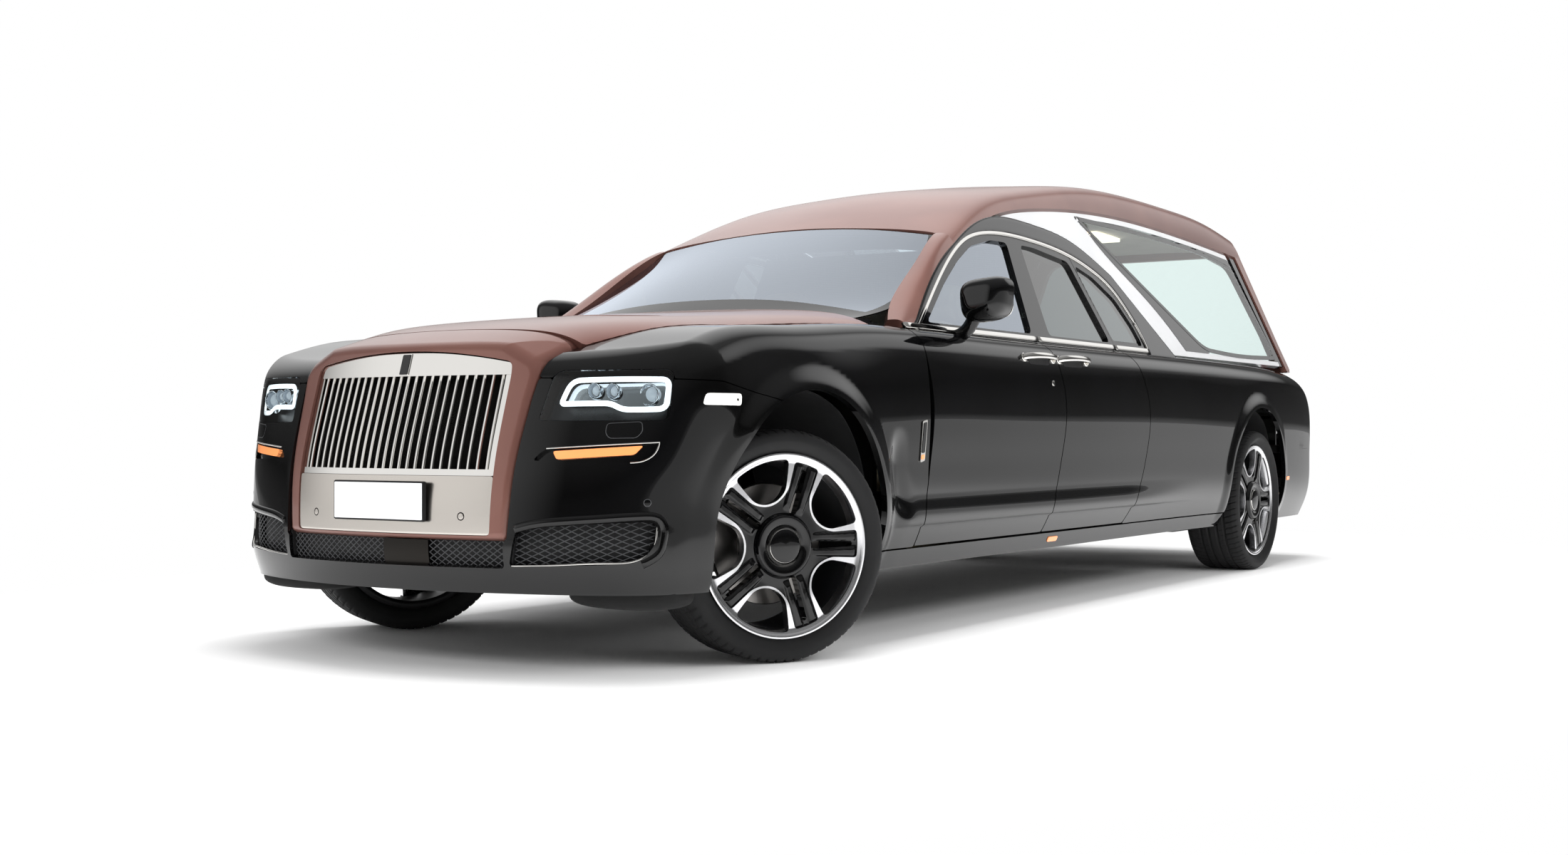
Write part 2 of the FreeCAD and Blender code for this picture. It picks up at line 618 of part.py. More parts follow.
def windscreen():
    """Curved glass from the cowl to the front of the roof."""
    sections = []
    for station, edge_x, edge_z, mid_x, mid_z, centre_z in SCREEN:
        half = [(edge_x, edge_z), (mid_x, mid_z), (0.0, centre_z)]
        chain = half + [(-x, z) for x, z in half[-2::-1]]
        ring = chain + [(x, z - GLASS_T * 1.2) for x, z in chain[::-1]]
        sections.append([(x, at(station), z) for x, z in ring])
    return loft(sections)


# ---------------------------------------------------------------------------
# body sides: quarter, pillars and the rail over the doors; side bands
# ---------------------------------------------------------------------------

CHAIN = ["belt", "shoulder", "mid", "low", "sill"]
tail_lamp_block = box(INNER_CUT_X, CUT_X, at(TAIL_LAMP_S), at(TAIL_END), *TAIL_LAMP_Z)


def hinge_leaf(outline, x_range, s_range, z):
    """A leaf that carries a door's hinge, SEAT away from the door's closed edge."""
    leaf = block(x_range + s_range + (z, z + LEAF_H))
    return one(leaf.cut(plug_x(inset(outline, GAP / 2 - SEAT), CUT_X, INNER_CUT_X, EDGE_TAPER)))


def body_side():
    """The rear quarter with the rail that arches over both doors."""
    corner = side_wall(ROOF[-1][0], TAIL_S, ["hood"] + CHAIN, FENDER_T, SKIN_T)
    corner = corner.cut(block((0, TAILGATE_X + GAP, GATE_CUT_S, TAIL_END, 0, CUT_X * 2)))
    quarter = side_wall(QUARTER_START, TAIL_S, CHAIN, FENDER_T).fuse(corner).common(tail_skin).cut(rear_arch)
    quarter = quarter.cut(plug_x(inset(rear_outline, -GAP / 2), CUT_X, INNER_CUT_X, EDGE_TAPER))
    quarter = quarter.cut(block((INNER_CUT_X, CUT_X, QUARTER_START - GAP, REAR_AXLE - 300, 0, SILL_TOP_Z)))
    quarter = quarter.cut(block((INNER_CUT_X, CUT_X, BUMPER_SEAM, TAIL_END, 0, REAR_BUMPER_TOP_Z)))
    quarter = quarter.cut(tail_lamp_block)
    low_z = BELT_Z - RAIL_OVERLAP
    rail_outline = RAIL_TOP + [(RAIL_TOP[-1][0], low_z), (RAIL_STEP_S, low_z), (RAIL_STEP_S, RAIL_FOOT_Z),
                               (RAIL_TOP[0][0], RAIL_FOOT_Z)]
    rail = leaning(rail_outline, 0.0, FRAME_T)
    rail = rail.cut(leaning(QUARTER_PANE, -CUT_MARGIN, FRAME_T + CUT_MARGIN))
    rail = rail.fuse(quarter)
    for frame in (front_frame, rear_frame):
        rail = rail.cut(leaning(inset(frame, -GAP / 2), -CUT_MARGIN, FRAME_T + CUT_MARGIN))
    head_z = RAIL_FOOT_Z + HINGE_HEAD_H
    hinge_pillar = block(HINGE_PILLAR_X + HINGE_PILLAR_S + (SILL_TOP_Z, head_z))
    pillar_head = block(HINGE_HEAD_X + HINGE_HEAD_S + (RAIL_FOOT_Z, head_z))
    middle_pillar = loft([[(x0, at(s0), z), (x1, at(s0), z), (x1, at(s1), z), (x0, at(s1), z)]
                          for z, x0, x1, s0, s1 in MIDDLE_PILLAR])
    leaves = [hinge_leaf(front_outline, LEAF_X, FRONT_LEAF, z) for z in LEAF_Z]
    leaves += [hinge_leaf(rear_outline, REAR_LEAF_X, REAR_LEAF, z) for z in LEAF_Z]
    shape = fuse([rail, hinge_pillar, pillar_head, middle_pillar, block(PILLAR_LINK)] + leaves)
    return one(shape.cut(roof))


side_left = body_side()
band_outline = ([(1941, 1597)] + [(row[0], row[1] + 4.0) for row in ROOF[1:]]
                + [(5200, BELT_Z - 10), (3440, BELT_Z - 10)] + RAIL_TOP[-2:5:-1])
band = leaning(band_outline, 0.0, FRAME_T).cut(leaning(CARGO_PANE, -CUT_MARGIN, FRAME_T + CUT_MARGIN))
band = one(band.cut(roof).cut(side_left))
keep("roof", roof)
keep("windscreen", one(windscreen().cut(roof)))
keep_pair("body_side", side_left)
keep("side_bands", band, mirrored(band))
glass_depths = (FRAME_T / 2 - GLASS_T / 2, FRAME_T / 2 + GLASS_T / 2)
side_panes = [leaning(inset(pane, SEAT), *glass_depths) for pane in (QUARTER_PANE, CARGO_PANE)]
keep("side_glass", *(side_panes + [mirrored(pane) for pane in side_panes]))


# ---------------------------------------------------------------------------
# nose: bumper, fenders, hood, grille and lamps
# ---------------------------------------------------------------------------

def lower_body(start, end):
    """The whole body below the belt between two stations, as one block."""
    sections = []
    for station in stations(LOWER, start, end):
        row = between(LOWER, station)
        half = lower_chain(row, ["sill", "low", "mid", "shoulder", "belt", "hood"])
        ring = half + [(0.0, row[11])] + [(-x, z) for x, z in half[::-1]]
        sections.append([(x, at(station), z) for x, z in ring])
    return loft(sections)


def prism_y(outline, start, end):
    """An outline of (x, z) points, extruded between two stations."""
    return Part.Face(wire([(x, at(start), z) for x, z in outline])).extrude(V(0, end - start, 0))


def both(outline):
    """A left half outline that starts and ends on the middle plane, closed by its mirror."""
    return outline + [(-x, z) for x, z in outline[::-1] if x > 0.0]


front_body = lower_body(-NOSE_OVERHANG, NOSE_BODY_END).common(nose_skin)
surround_hole = prism_y(both(SURROUND_OUTER), *NOSE_CUT)
lamp_left = prism_y(HEADLAMP, *NOSE_CUT)
intakes = [prism_y(both(INTAKE_MIDDLE), *NOSE_CUT), prism_y(INTAKE_SIDE, *NOSE_CUT)]
intakes.append(mirrored(intakes[1]))
flasher_left = prism_y(INDICATOR, *NOSE_CUT)

bumper = front_body.common(prism_x(BUMPER_SIDE, -1000, 1000)).cut(nose_core)
for cutter in [surround_hole, lamp_left, mirrored(lamp_left), flasher_left, mirrored(flasher_left),
               front_arch, mirrored(front_arch)] + intakes:
    bumper = bumper.cut(cutter)
bumper = one(bumper)
keep("front_bumper", bumper)

mesh_shell = (plan_levels(NOSE, -1, MESH_DEPTH, MESH_TOP_Z)
              .cut(plan_levels(NOSE, -1, MESH_DEPTH + MESH_T, MESH_TOP_Z)))
mesh_parts = [mesh_shell.common(intake.makeOffsetShape(-SEAT, 0.01)) for intake in intakes]
keep("lower_grille", *[one(part) for part in mesh_parts])

lamp_shell = front_body.cut(plan_levels(NOSE, -1, LAMP_DEPTH))
lamp_block = one(lamp_shell.common(prism_y(inset(HEADLAMP, SEAT), *NOSE_CUT)))
keep("headlamps", lamp_block, mirrored(lamp_block))
flasher_shell = front_body.cut(plan_levels(NOSE, -1, FLASHER_DEPTH))
flasher = one(flasher_shell.common(prism_y(inset(INDICATOR, SEAT), *NOSE_CUT)))
keep("indicators", flasher, mirrored(flasher))


def fender():
    """Front fender: side wall and the shoulder beside the hood."""
    names = ["hood", "belt", "shoulder", "mid", "low", "sill"]
    shape = side_wall(FENDER_S[0], FENDER_S[1], names, FENDER_T, SKIN_T).common(nose_skin)
    shape = shape.cut(front_arch).cut(prism_x(BUMPER_SIDE, 0, CUT_X)).cut(lamp_left)
    shape = shape.cut(plug_x(inset(front_outline, -GAP / 2), CUT_X, CUT_X - FENDER_PLUG, EDGE_TAPER))
    shape = shape.cut(block((FENDER_S[0], CUT_X, FRONT_AXLE, FENDER_S[1] + FENDER_T, 0, SILL_TOP_Z)))
    return one(shape.cut(surround_hole).cut(side_left).cut(roof))


fender_left = fender()
keep_pair("front_fender", fender_left)


def hood():
    """Crowned hood between the fenders, SKIN_T thick."""
    sections = []
    for station in stations(LOWER, HOOD_FRONT, HOOD_REAR):
        row = between(LOWER, station)
        edge_x = row[9] - HOOD_GAP
        mid_z = row[11] - (row[11] - row[10]) * HOOD_CROWN
        half = [(edge_x, row[10]), (edge_x * HOOD_MID, mid_z), (0.0, row[11])]
        under = [(edge_x - SKIN_T / 2, row[10] - SKIN_T), (edge_x * HOOD_MID, mid_z - SKIN_T),
                 (0.0, row[11] - SKIN_T)]
        outer = half + [(-x, z) for x, z in half[-2::-1]]
        inner = under + [(-x, z) for x, z in under[-2::-1]]
        sections.append([(x, at(station), z) for x, z in outer + inner[::-1]])
    return loft(sections)


keep("hood", hood())

grille_skin = plan_levels(GRILLE_FRONT, -1, 0.0)


def front_slice(outline, depth0, depth1):
    """A piece of the grille's front with a given outline, between two depths."""
    piece = prism_y(outline, NOSE_CUT[0], GRILLE_CUT_END).common(grille_skin.translated(V(0, depth0, 0)))
    return one(piece.cut(grille_skin.translated(V(0, depth1, 0))))


surround = front_slice(both(SURROUND_OUTER), 0.0, SURROUND_DEPTH)
surround = surround.cut(prism_y(both(GRILLE_OPENING), *NOSE_CUT))
surround = one(surround.common(lower_body(-NOSE_OVERHANG, NOSE_BODY_END)).cut(
    block((-CUT_X, CUT_X, HOOD_FRONT - HOOD_GAP, 0, 0, CUT_X * 2))))
keep("grille_surround", surround)


def grille():
    """Header, foot, posts and upright vanes, joined."""
    pieces = [front_slice(both(GRILLE_HEADER), GRILLE_FACE, GRILLE_DEPTH),
              front_slice(both(GRILLE_FOOT), GRILLE_FACE, GRILLE_DEPTH)]
    posts = front_slice(GRILLE_POST, GRILLE_FACE, GRILLE_DEPTH)
    pieces += [posts, mirrored(posts)]
    pitch = 2 * VANE_SPAN / (VANES - 1)
    for index in range(VANES):
        x = -VANE_SPAN + index * pitch
        ring = [(x - VANE_W / 2, VANE_Z[0]), (x + VANE_W / 2, VANE_Z[0]),
                (x + VANE_W / 2, VANE_Z[1]), (x - VANE_W / 2, VANE_Z[1])]
        pieces.append(front_slice(ring, VANE_FACE, VANE_DEPTH))
    return fuse(pieces)


keep("grille", grille())
plate = block((-PLATE_W / 2, PLATE_W / 2, -NOSE_OVERHANG, PLATE_T - NOSE_OVERHANG,
               PLATE_Z, PLATE_Z + PLATE_H))
keep("plate_panel", front_slice(both(PLATE_PANEL), PLATE_PANEL_FACE, PLATE_PANEL_DEPTH).cut(plate))
keep("front_plate", plate)
keep("radiator", block(RADIATOR))


# ---------------------------------------------------------------------------
# tail: tailgate, rear bumper and lamps
# ---------------------------------------------------------------------------

rear_body = lower_body(GATE_CUT_S, TAIL_S).common(tail_skin)
gate_lower = rear_body.common(prism_x(GATE_LOWER, -TAILGATE_X, TAILGATE_X))
roof_end = ROOF[-1]
gate_section = both([(0.0, 1000), (TAILGATE_X, 1000), (TAILGATE_X, GATE_FOOT_Z),
                     (side_x(GATE_FOOT_Z) - GATE_EDGE, GATE_FOOT_Z),
                     (side_x(roof_end[1]) - GATE_EDGE, roof_end[1]),
                     (roof_end[2] - GATE_EDGE, roof_end[3]), (ROOF_MID_X, roof_end[4]), (0, roof_end[5])])
gate_upper = prism_y(gate_section, 5000, 5500).common(prism_x(GATE_UPPER, -1000, 1000))
gate_hole = prism_y(GATE_PANE, 5000, 5500)
tailgate = one(fuse([gate_lower, gate_upper.cut(gate_hole)]))
plate_rear = block((-REAR_PLATE_W / 2, REAR_PLATE_W / 2, TAIL_S - REAR_PLATE_T, TAIL_S, REAR_PLATE_Z,
                    REAR_PLATE_Z + PLATE_H))
keep("tailgate", tailgate.cut(plate_rear))
gate_glass = prism_y(inset(GATE_PANE, SEAT), 5000, 5500)
keep("tailgate_glass", gate_glass.common(prism_x(GATE_GLASS, -1000, 1000)))
keep("rear_plate", plate_rear)

rear_bumper = lower_body(BUMPER_SEAM, TAIL_S).common(tail_skin).cut(tail_core)
rear_bumper = rear_bumper.cut(block((-CUT_X, CUT_X, GATE_CUT_S, TAIL_END, REAR_BUMPER_TOP_Z, CUT_X * 2)))
keep("rear_bumper", one(rear_bumper))
tail_lamp = side_wall(TAIL_LAMP_S, TAIL_S, CHAIN, FENDER_T).common(tail_skin).common(tail_lamp_block)
tail_lamp = one(tail_lamp)
keep("tail_lamps", tail_lamp, mirrored(tail_lamp))


# ---------------------------------------------------------------------------
# under the body: sills, floor, firewall, engine, exhaust
# ---------------------------------------------------------------------------

sill = side_wall(SILL_START, SILL_END, ["low", "sill"], FENDER_T)
sill = one(sill.cut(block((0, CUT_X, 0, TAIL_S, SILL_TOP_Z, BELT_Z))).cut(front_arch).cut(rear_arch))
keep("sills", sill, mirrored(sill))

floor = fuse([block(ranges) for ranges in FLOOR_BOXES])
for neighbour in [sill, mirrored(sill), bumper, rear_bumper, side_left, mirrored(side_left)] + mesh_parts:
    floor = floor.cut(neighbour)
keep("floor_pan", one(floor))

firewall = fuse([block(ranges) for ranges in FIREWALL_BOXES])
hood_solid = NODES["hood"]
for side in (-1, 1):
    x0, x1 = side * HORN_X - HORN_W / 2, side * HORN_X + HORN_W / 2
    horn_s = HOOD_REAR - HORN_L
    shelf = block((x0, x1, horn_s, FIREWALL_BOXES[0][2]) + HORN_SHELF_Z)
    post = block((x0, x1, horn_s, horn_s + HORN_POST_L, HORN_SHELF_Z[0], HORN_POST_TOP))
    post = post.cut(hood_solid).cut(hood_solid.translated(V(0, 0, -SEAT)))
    post = min(post.Solids, key=lambda solid: solid.CenterOfMass.z)
    firewall = firewall.fuse(shelf).fuse(post)
firewall = firewall.removeSplitter()
firewall = firewall.cut(fender_left).cut(mirrored(fender_left)).cut(side_left).cut(mirrored(side_left))
keep("firewall", one(firewall))

engine_w, engine_l, engine_h = ENGINE
engine_block = box(-engine_w / 2, engine_w / 2, at(ENGINE_STATION), at(ENGINE_STATION + engine_l),
                   ENGINE_Z, ENGINE_Z + engine_h)
foot_top = RAIL_TOP_Z - ENGINE_FOOT_DROP
engine_feet = [block((-RAIL_IN, RAIL_IN, station, station + ENGINE_FOOT_L, ENGINE_Z, foot_top))
               for station in ENGINE_FEET]
keep("engine", fuse([engine_block] + engine_feet))


def exhaust_pipe(side):
    """One straight pipe with its silencer and hangers."""
    x = side * EXHAUST_X
    start, end = EXHAUST_S
    pipe = Part.makeCylinder(EXHAUST_R, end - start, V(x, at(start), EXHAUST_Z), V(0, 1, 0))
    silencer = block((x - SILENCER_HALF, x + SILENCER_HALF) + SILENCER_S + SILENCER_Z)
    hangers = [block((x - HANGER_HALF, x + HANGER_HALF, station, station + HANGER_L, EXHAUST_Z, top_z))
               for station, top_z in HANGERS]
    return fuse([pipe, silencer] + hangers)


keep("exhaust", exhaust_pipe(1), exhaust_pipe(-1))


# ---------------------------------------------------------------------------
# interior: lining, seats, dashboard
# ---------------------------------------------------------------------------

shelf_low = SHELF_Z - LINING_T
lining_ring = [(LINING_X, DECK_Z - 2 * LINING_T), (LINING_X, shelf_low), (SHELF_X, shelf_low),
               (SHELF_X, SHELF_Z),
               (LINING_X - LINING_T, SHELF_Z), (LINING_X - LINING_T, DECK_Z)]
lining_ring += [(-x, z) for x, z in lining_ring[::-1]]
partition_ring = PARTITION + [(-x, z) for x, z in PARTITION[::-1]]
legs = [block((side * LEG_X - LEG_HALF, side * LEG_X + LEG_HALF, start, end, foot_z, DECK_Z - LINING_T))
        for side in (-1, 1) for start, end, foot_z in LEGS]
lining = fuse([prism_y(lining_ring, *LINING_S), prism_y(partition_ring, *PARTITION_S)] + legs)
for neighbour in [side_left, mirrored(side_left)]:
    lining = lining.cut(neighbour)
keep("cargo_lining", one(lining))


def seat(x, station):
    """Cushion, back and headrest of one front seat, on a plinth."""
    half = SEAT_W / 2
    body = prism_x([(station + back, z) for back, z in SEAT_PROFILE], x - half, x + half)
    head = prism_x([(station + back, z) for back, z in HEADREST_PROFILE],
                   x - half * HEADREST_SHARE, x + half * HEADREST_SHARE)
    return fuse([body, head])


keep("front_seats", *[seat(*place) for place in SEAT_PLACES])

driver_x = SEAT_PLACES[0][0]
steering_middle = V(driver_x, at(STEERING_PLACE[0]), STEERING_PLACE[1])
steering_aim = V(0, *STEERING_AIM)
wheel_ring = Part.makeTorus(STEERING_R, STEERING_BAR_R, steering_middle, steering_aim)
column = Part.makeCylinder(COLUMN_R, COLUMN_L, steering_middle, -steering_aim)
spoke_half, *spoke_ranges = STEERING_SPOKE
spoke_bar = block((driver_x - spoke_half, driver_x + spoke_half, *spoke_ranges))
dashboard = fuse([prism_x(DASH_PROFILE, -DASH_X, DASH_X), wheel_ring, column, spoke_bar])
for neighbour in (fender_left, side_left, firewall):
    dashboard = dashboard.cut(neighbour).cut(mirrored(neighbour))
keep("dashboard", one(dashboard))


# ---------------------------------------------------------------------------
# wheels, hubs and suspension
# ---------------------------------------------------------------------------

STUB_REACH = RIM_W / 2 - SPOKE_FACE - 3.0 - STUB_END


def turned(profile, x0=0.0):
    """A ring turned about the X axis from (x, radius) points."""
    face = Part.Face(wire([(x + x0, 0.0, r) for x, r in profile]))
    return face.revolve(V(0, 0, 0), V(1, 0, 0), 360)


def tyre(width):
    """Tyre about X, open to the rim inside."""
    half = width / 2
    bead = RIM_W / 2 - FLANGE_T
    side = [(bead - 0.3, RIM_SEAT_R + SEAT), (bead - 0.3, RIM_R + 0.5), (half - 4, RIM_R + 6),
            (half, (RIM_R + TYRE_R) / 2), (half - 8, TYRE_R - 14), (half - 24, TYRE_R - 3),
            (half - 50, TYRE_R)]
    return turned(side + [(-x, r) for x, r in side[::-1]])


def rim():
    """Barrel, five pairs of spokes, hub and brake disc as one piece about X."""
    half = RIM_W / 2
    barrel = turned([(-half, RIM_R), (-half + FLANGE_T, RIM_R), (-half + FLANGE_T, RIM_SEAT_R),
                     (half - FLANGE_T, RIM_SEAT_R), (half - FLANGE_T, RIM_R), (half, RIM_R),
                     (half, RIM_R - 14), (half - 30, BARREL_R), (-half, BARREL_R)])
    face = half - SPOKE_FACE
    hub = turned([(DISC_X, HUB_BORE_R), (DISC_X, NECK_R), (face - 50, NECK_R), (face - 45, HUB_R),
                  (face, HUB_R), (face, HUB_BORE_R)])
    disc_out = DISC_X + DISC_T
    disc = turned([(DISC_X, NECK_R - 5), (DISC_X, DISC_R), (disc_out, DISC_R), (disc_out, NECK_R - 5)])
    cap = turned([(face + x, radius) for x, radius in CAP_PROFILE])
    pieces = [barrel, hub, disc, cap]
    for index in range(SPOKES):
        middle = 90.0 + index * 360.0 / SPOKES
        for side in (-1, 1):
            spoke = box(face - SPOKE_T, face - 2, -SPOKE_W / 2, SPOKE_W / 2, SPOKE_START_R, BARREL_R + 10)
            spoke.translate(V(0, side * SPOKE_GAP, 0))
            spoke.rotate(V(0, 0, 0), V(1, 0, 0), middle - 90.0 + side * SPOKE_SPREAD)
            pieces.append(spoke)
    return fuse(pieces)


def place_front(shape, side):
    """Moves a piece made about X at the wheel's middle to a front corner, steered."""
    copy = shape.copy() if side > 0 else mirrored(shape)
    copy.translate(V(side * KINGPIN_OFFSET, 0, 0))
    copy.rotate(V(0, 0, 0), V(0, 0, 1), -STEER_REST)
    copy.translate(V(side * KINGPIN_X, at(FRONT_AXLE), WHEEL_Z))
    return copy


def place_rear(shape, side):
    copy = shape.copy() if side > 0 else mirrored(shape)
    copy.translate(V(side * REAR_TRACK_HALF, at(REAR_AXLE), WHEEL_Z))
    return copy


def knuckle():
    """Steering knuckle: upright pin, arm and stub axle, about the wheel's middle."""
    pin = Part.makeCylinder(KINGPIN_R, 2 * KINGPIN_HALF, V(-KINGPIN_OFFSET, 0, -KINGPIN_HALF))
    block = box(-KINGPIN_OFFSET - 30, DISC_X - 8, -35, 35, -100, 100)
    stub = Part.makeCylinder(STUB_R, 50 + STUB_REACH, V(-50, 0, 0), V(1, 0, 0))
    caliper = box(DISC_X - 18, DISC_X + DISC_T + 8, -(DISC_R + 32), -(DISC_R + 6), -70, 70)
    bracket = box(-KINGPIN_OFFSET - 20, DISC_X - 10, -(DISC_R + 32), -20, -30, 30)
    return fuse([pin, block, stub, caliper, bracket])


front_tyre = tyre(TYRE_FRONT_W)
rear_tyre = tyre(TYRE_REAR_W)
wheel_rim = rim()
hub_carrier = knuckle()
for side, label in ((1, "left"), (-1, "right")):
    keep("front_tyre_" + label, place_front(front_tyre, side))
    keep("front_rim_" + label, place_front(wheel_rim, side))
    keep("front_knuckle_" + label, place_front(hub_carrier, side))
    keep("rear_tyre_" + label, place_rear(rear_tyre, side))
    keep("rear_rim_" + label, place_rear(wheel_rim, side))


def wishbone(z):
    """Left arm from the frame rail to an eye around the knuckle's pin."""
    y = at(FRONT_AXLE)
    eye = Part.makeCylinder(KINGPIN_R + EYE_WALL, ARM_T, V(KINGPIN_X, y, z))
    arm = Part.Face(wire([(RAIL_OUT, y - ARM_FOOT, z), (RAIL_OUT, y + ARM_FOOT, z), (KINGPIN_X, y + 18, z),
                          (KINGPIN_X, y - 18, z)])).extrude(V(0, 0, ARM_T))
    bore = Part.makeCylinder(KINGPIN_R + PIN_CLEAR, ARM_T, V(KINGPIN_X, y, z))
    return fuse([eye, arm]).cut(bore)


low_arm = wishbone(WHEEL_Z - KINGPIN_HALF + 5)
high_arm = wishbone(WHEEL_Z + KINGPIN_HALF - 5 - ARM_T)
tower = box(RAIL_IN, RAIL_OUT, at(FRONT_AXLE) - ARM_FOOT, at(FRONT_AXLE) + ARM_FOOT, RAIL_TOP_Z,
            WHEEL_Z + KINGPIN_HALF + 30)
foot = box(RAIL_IN, RAIL_OUT, at(FRONT_AXLE) - ARM_FOOT, at(FRONT_AXLE) + ARM_FOOT, WHEEL_Z - KINGPIN_HALF,
           FLOOR_TOP_Z - FLOOR_T)
corner_low = fuse([low_arm, foot])
corner_high = fuse([high_arm, tower])
keep("front_suspension", corner_low, corner_high, mirrored(corner_low), mirrored(corner_high))

axle_y = at(REAR_AXLE)
stub_reach = REAR_TRACK_HALF + STUB_REACH
tube_half = REAR_TRACK_HALF - 70.0
rear_axle_parts = [
    Part.makeCylinder(STUB_R, 2 * stub_reach, V(-stub_reach, axle_y, WHEEL_Z), V(1, 0, 0)),
    Part.makeCylinder(AXLE_TUBE_R, 2 * tube_half, V(-tube_half, axle_y, WHEEL_Z), V(1, 0, 0)),
    box(-DIFF_HALF, DIFF_HALF, axle_y - 170, axle_y + 150, 265, REAR_FLOOR_Z - FLOOR_T)]
for side in (-1, 1):
    spring_x = side * SPRING_X
    rear_axle_parts.append(box(spring_x - SPRING_HALF[0], spring_x + SPRING_HALF[0], axle_y - SPRING_HALF[1],
                               axle_y + SPRING_HALF[1], WHEEL_Z - 50, REAR_FLOOR_Z - FLOOR_T))
keep("rear_axle", one(fuse(rear_axle_parts)))


def liner(station, x0, x1, radius, cutters):
    """Half a drum above a wheel, cut back from the panels it meets."""
    ring = cylinder_x(x0, x1, station, WHEEL_Z + ARCH_RISE, radius + LINER_T)
    ring = ring.cut(cylinder_x(x0, x1, station, WHEEL_Z + ARCH_RISE, radius))
    ring = ring.cut(block((x0 - 1, x1 + 1, station - 600, station + 600, -600, WHEEL_Z - LINER_FOOT)))
    for cutter in cutters:
        ring = ring.cut(cutter)
    return one(ring)


front_liner = liner(FRONT_AXLE, RAIL_OUT + 20, LINER_X, ARCH_R, [fender_left, bumper, side_left])
rear_liner = liner(REAR_AXLE, REAR_FLOOR_X, LINER_X, REAR_ARCH_R, [side_left, floor, lining])
keep("wheel_liners", front_liner, mirrored(front_liner), rear_liner, mirrored(rear_liner))


# ---------------------------------------------------------------------------
# mirrors
# ---------------------------------------------------------------------------

def mirror():
    """Left door mirror: foot on the door, arm and housing."""
    housing = loft([[(x, at(station), z) for x, z in corners] for station, *corners in MIRROR_ENDS])
    return fuse([block(MIRROR_FOOT), housing])


keep_pair("mirror", one(mirror().cut(NODES["front_door_left"])))

for _name, _shape in NODES.items():
    _shape.exportStep(os.path.join("parts", _name + ".step"))
    print(_name, round(_shape.Volume / 1e6, 2), _shape.isValid(), len(_shape.Solids))
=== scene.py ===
import json
import math

import bpy
import numpy as np
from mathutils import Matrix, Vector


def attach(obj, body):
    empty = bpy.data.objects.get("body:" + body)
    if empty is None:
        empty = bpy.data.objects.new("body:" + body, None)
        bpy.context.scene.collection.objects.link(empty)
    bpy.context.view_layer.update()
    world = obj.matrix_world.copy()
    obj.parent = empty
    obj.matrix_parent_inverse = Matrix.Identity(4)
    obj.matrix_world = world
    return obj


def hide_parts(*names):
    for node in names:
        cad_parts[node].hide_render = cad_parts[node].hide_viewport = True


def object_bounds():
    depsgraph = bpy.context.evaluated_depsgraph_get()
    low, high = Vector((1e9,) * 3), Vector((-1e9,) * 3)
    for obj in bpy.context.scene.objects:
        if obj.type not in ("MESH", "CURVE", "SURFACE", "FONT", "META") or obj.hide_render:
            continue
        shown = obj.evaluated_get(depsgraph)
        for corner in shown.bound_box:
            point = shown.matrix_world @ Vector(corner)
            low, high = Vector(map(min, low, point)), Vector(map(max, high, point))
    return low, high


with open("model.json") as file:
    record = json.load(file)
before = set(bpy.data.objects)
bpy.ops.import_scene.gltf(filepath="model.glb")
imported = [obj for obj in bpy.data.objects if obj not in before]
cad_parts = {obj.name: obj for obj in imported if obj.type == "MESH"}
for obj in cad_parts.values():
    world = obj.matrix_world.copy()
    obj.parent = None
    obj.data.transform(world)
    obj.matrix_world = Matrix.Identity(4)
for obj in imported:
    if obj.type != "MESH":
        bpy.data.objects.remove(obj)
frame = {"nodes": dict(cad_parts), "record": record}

bl_info = {"name": "Coachbuilt hearse", "version": (1, 0, 0), "blender": (4, 5, 0),
    "location": "3D View > Sidebar > Hearse",
    "description": "Lacquered panels, glass, grille, lamps, wheels and cabin of a long hearse",
    "category": "Object", }

# Places. Lengths are metres, and millimetres inside mm(). The nose points to -Y and +X is the car's left.
# A "station" is the distance behind the datum, NOSE_OVERHANG behind the nose.

CAD_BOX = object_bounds()
NOSE_OVERHANG = 0.87
DATUM = CAD_BOX[0][1] + NOSE_OVERHANG
SHUT_GAP = 0.006
SIDES = ((1.0, "left"), (-1.0, "right"))
LEFT, BOTH = (1.0,), (1.0, -1.0)

FRONT_AXLE = 0.034
REAR_AXLE = 4.439
HUB_Z = 0.36
ARCH_Z = 0.368
ARCH_R = 0.474
REAR_ARCH_R = 0.47
KINGPIN_X = 0.75
KINGPIN_OFFSET = 0.07
REAR_TRACK_HALF = 0.826
STEER_REST = math.radians(28.8)

# The side above the belt is one plane that leans in.
PLANE_X = 0.93
PLANE_Z = 0.95
PLANE_LEAN = 0.42
PLANE_NORMAL = np.array([1.0, 0.0, PLANE_LEAN]) / math.hypot(1.0, PLANE_LEAN)
BELT_Z = 1.066


def mm(points):
    """Points or a table given in millimetres."""
    return np.array(points) / 1000


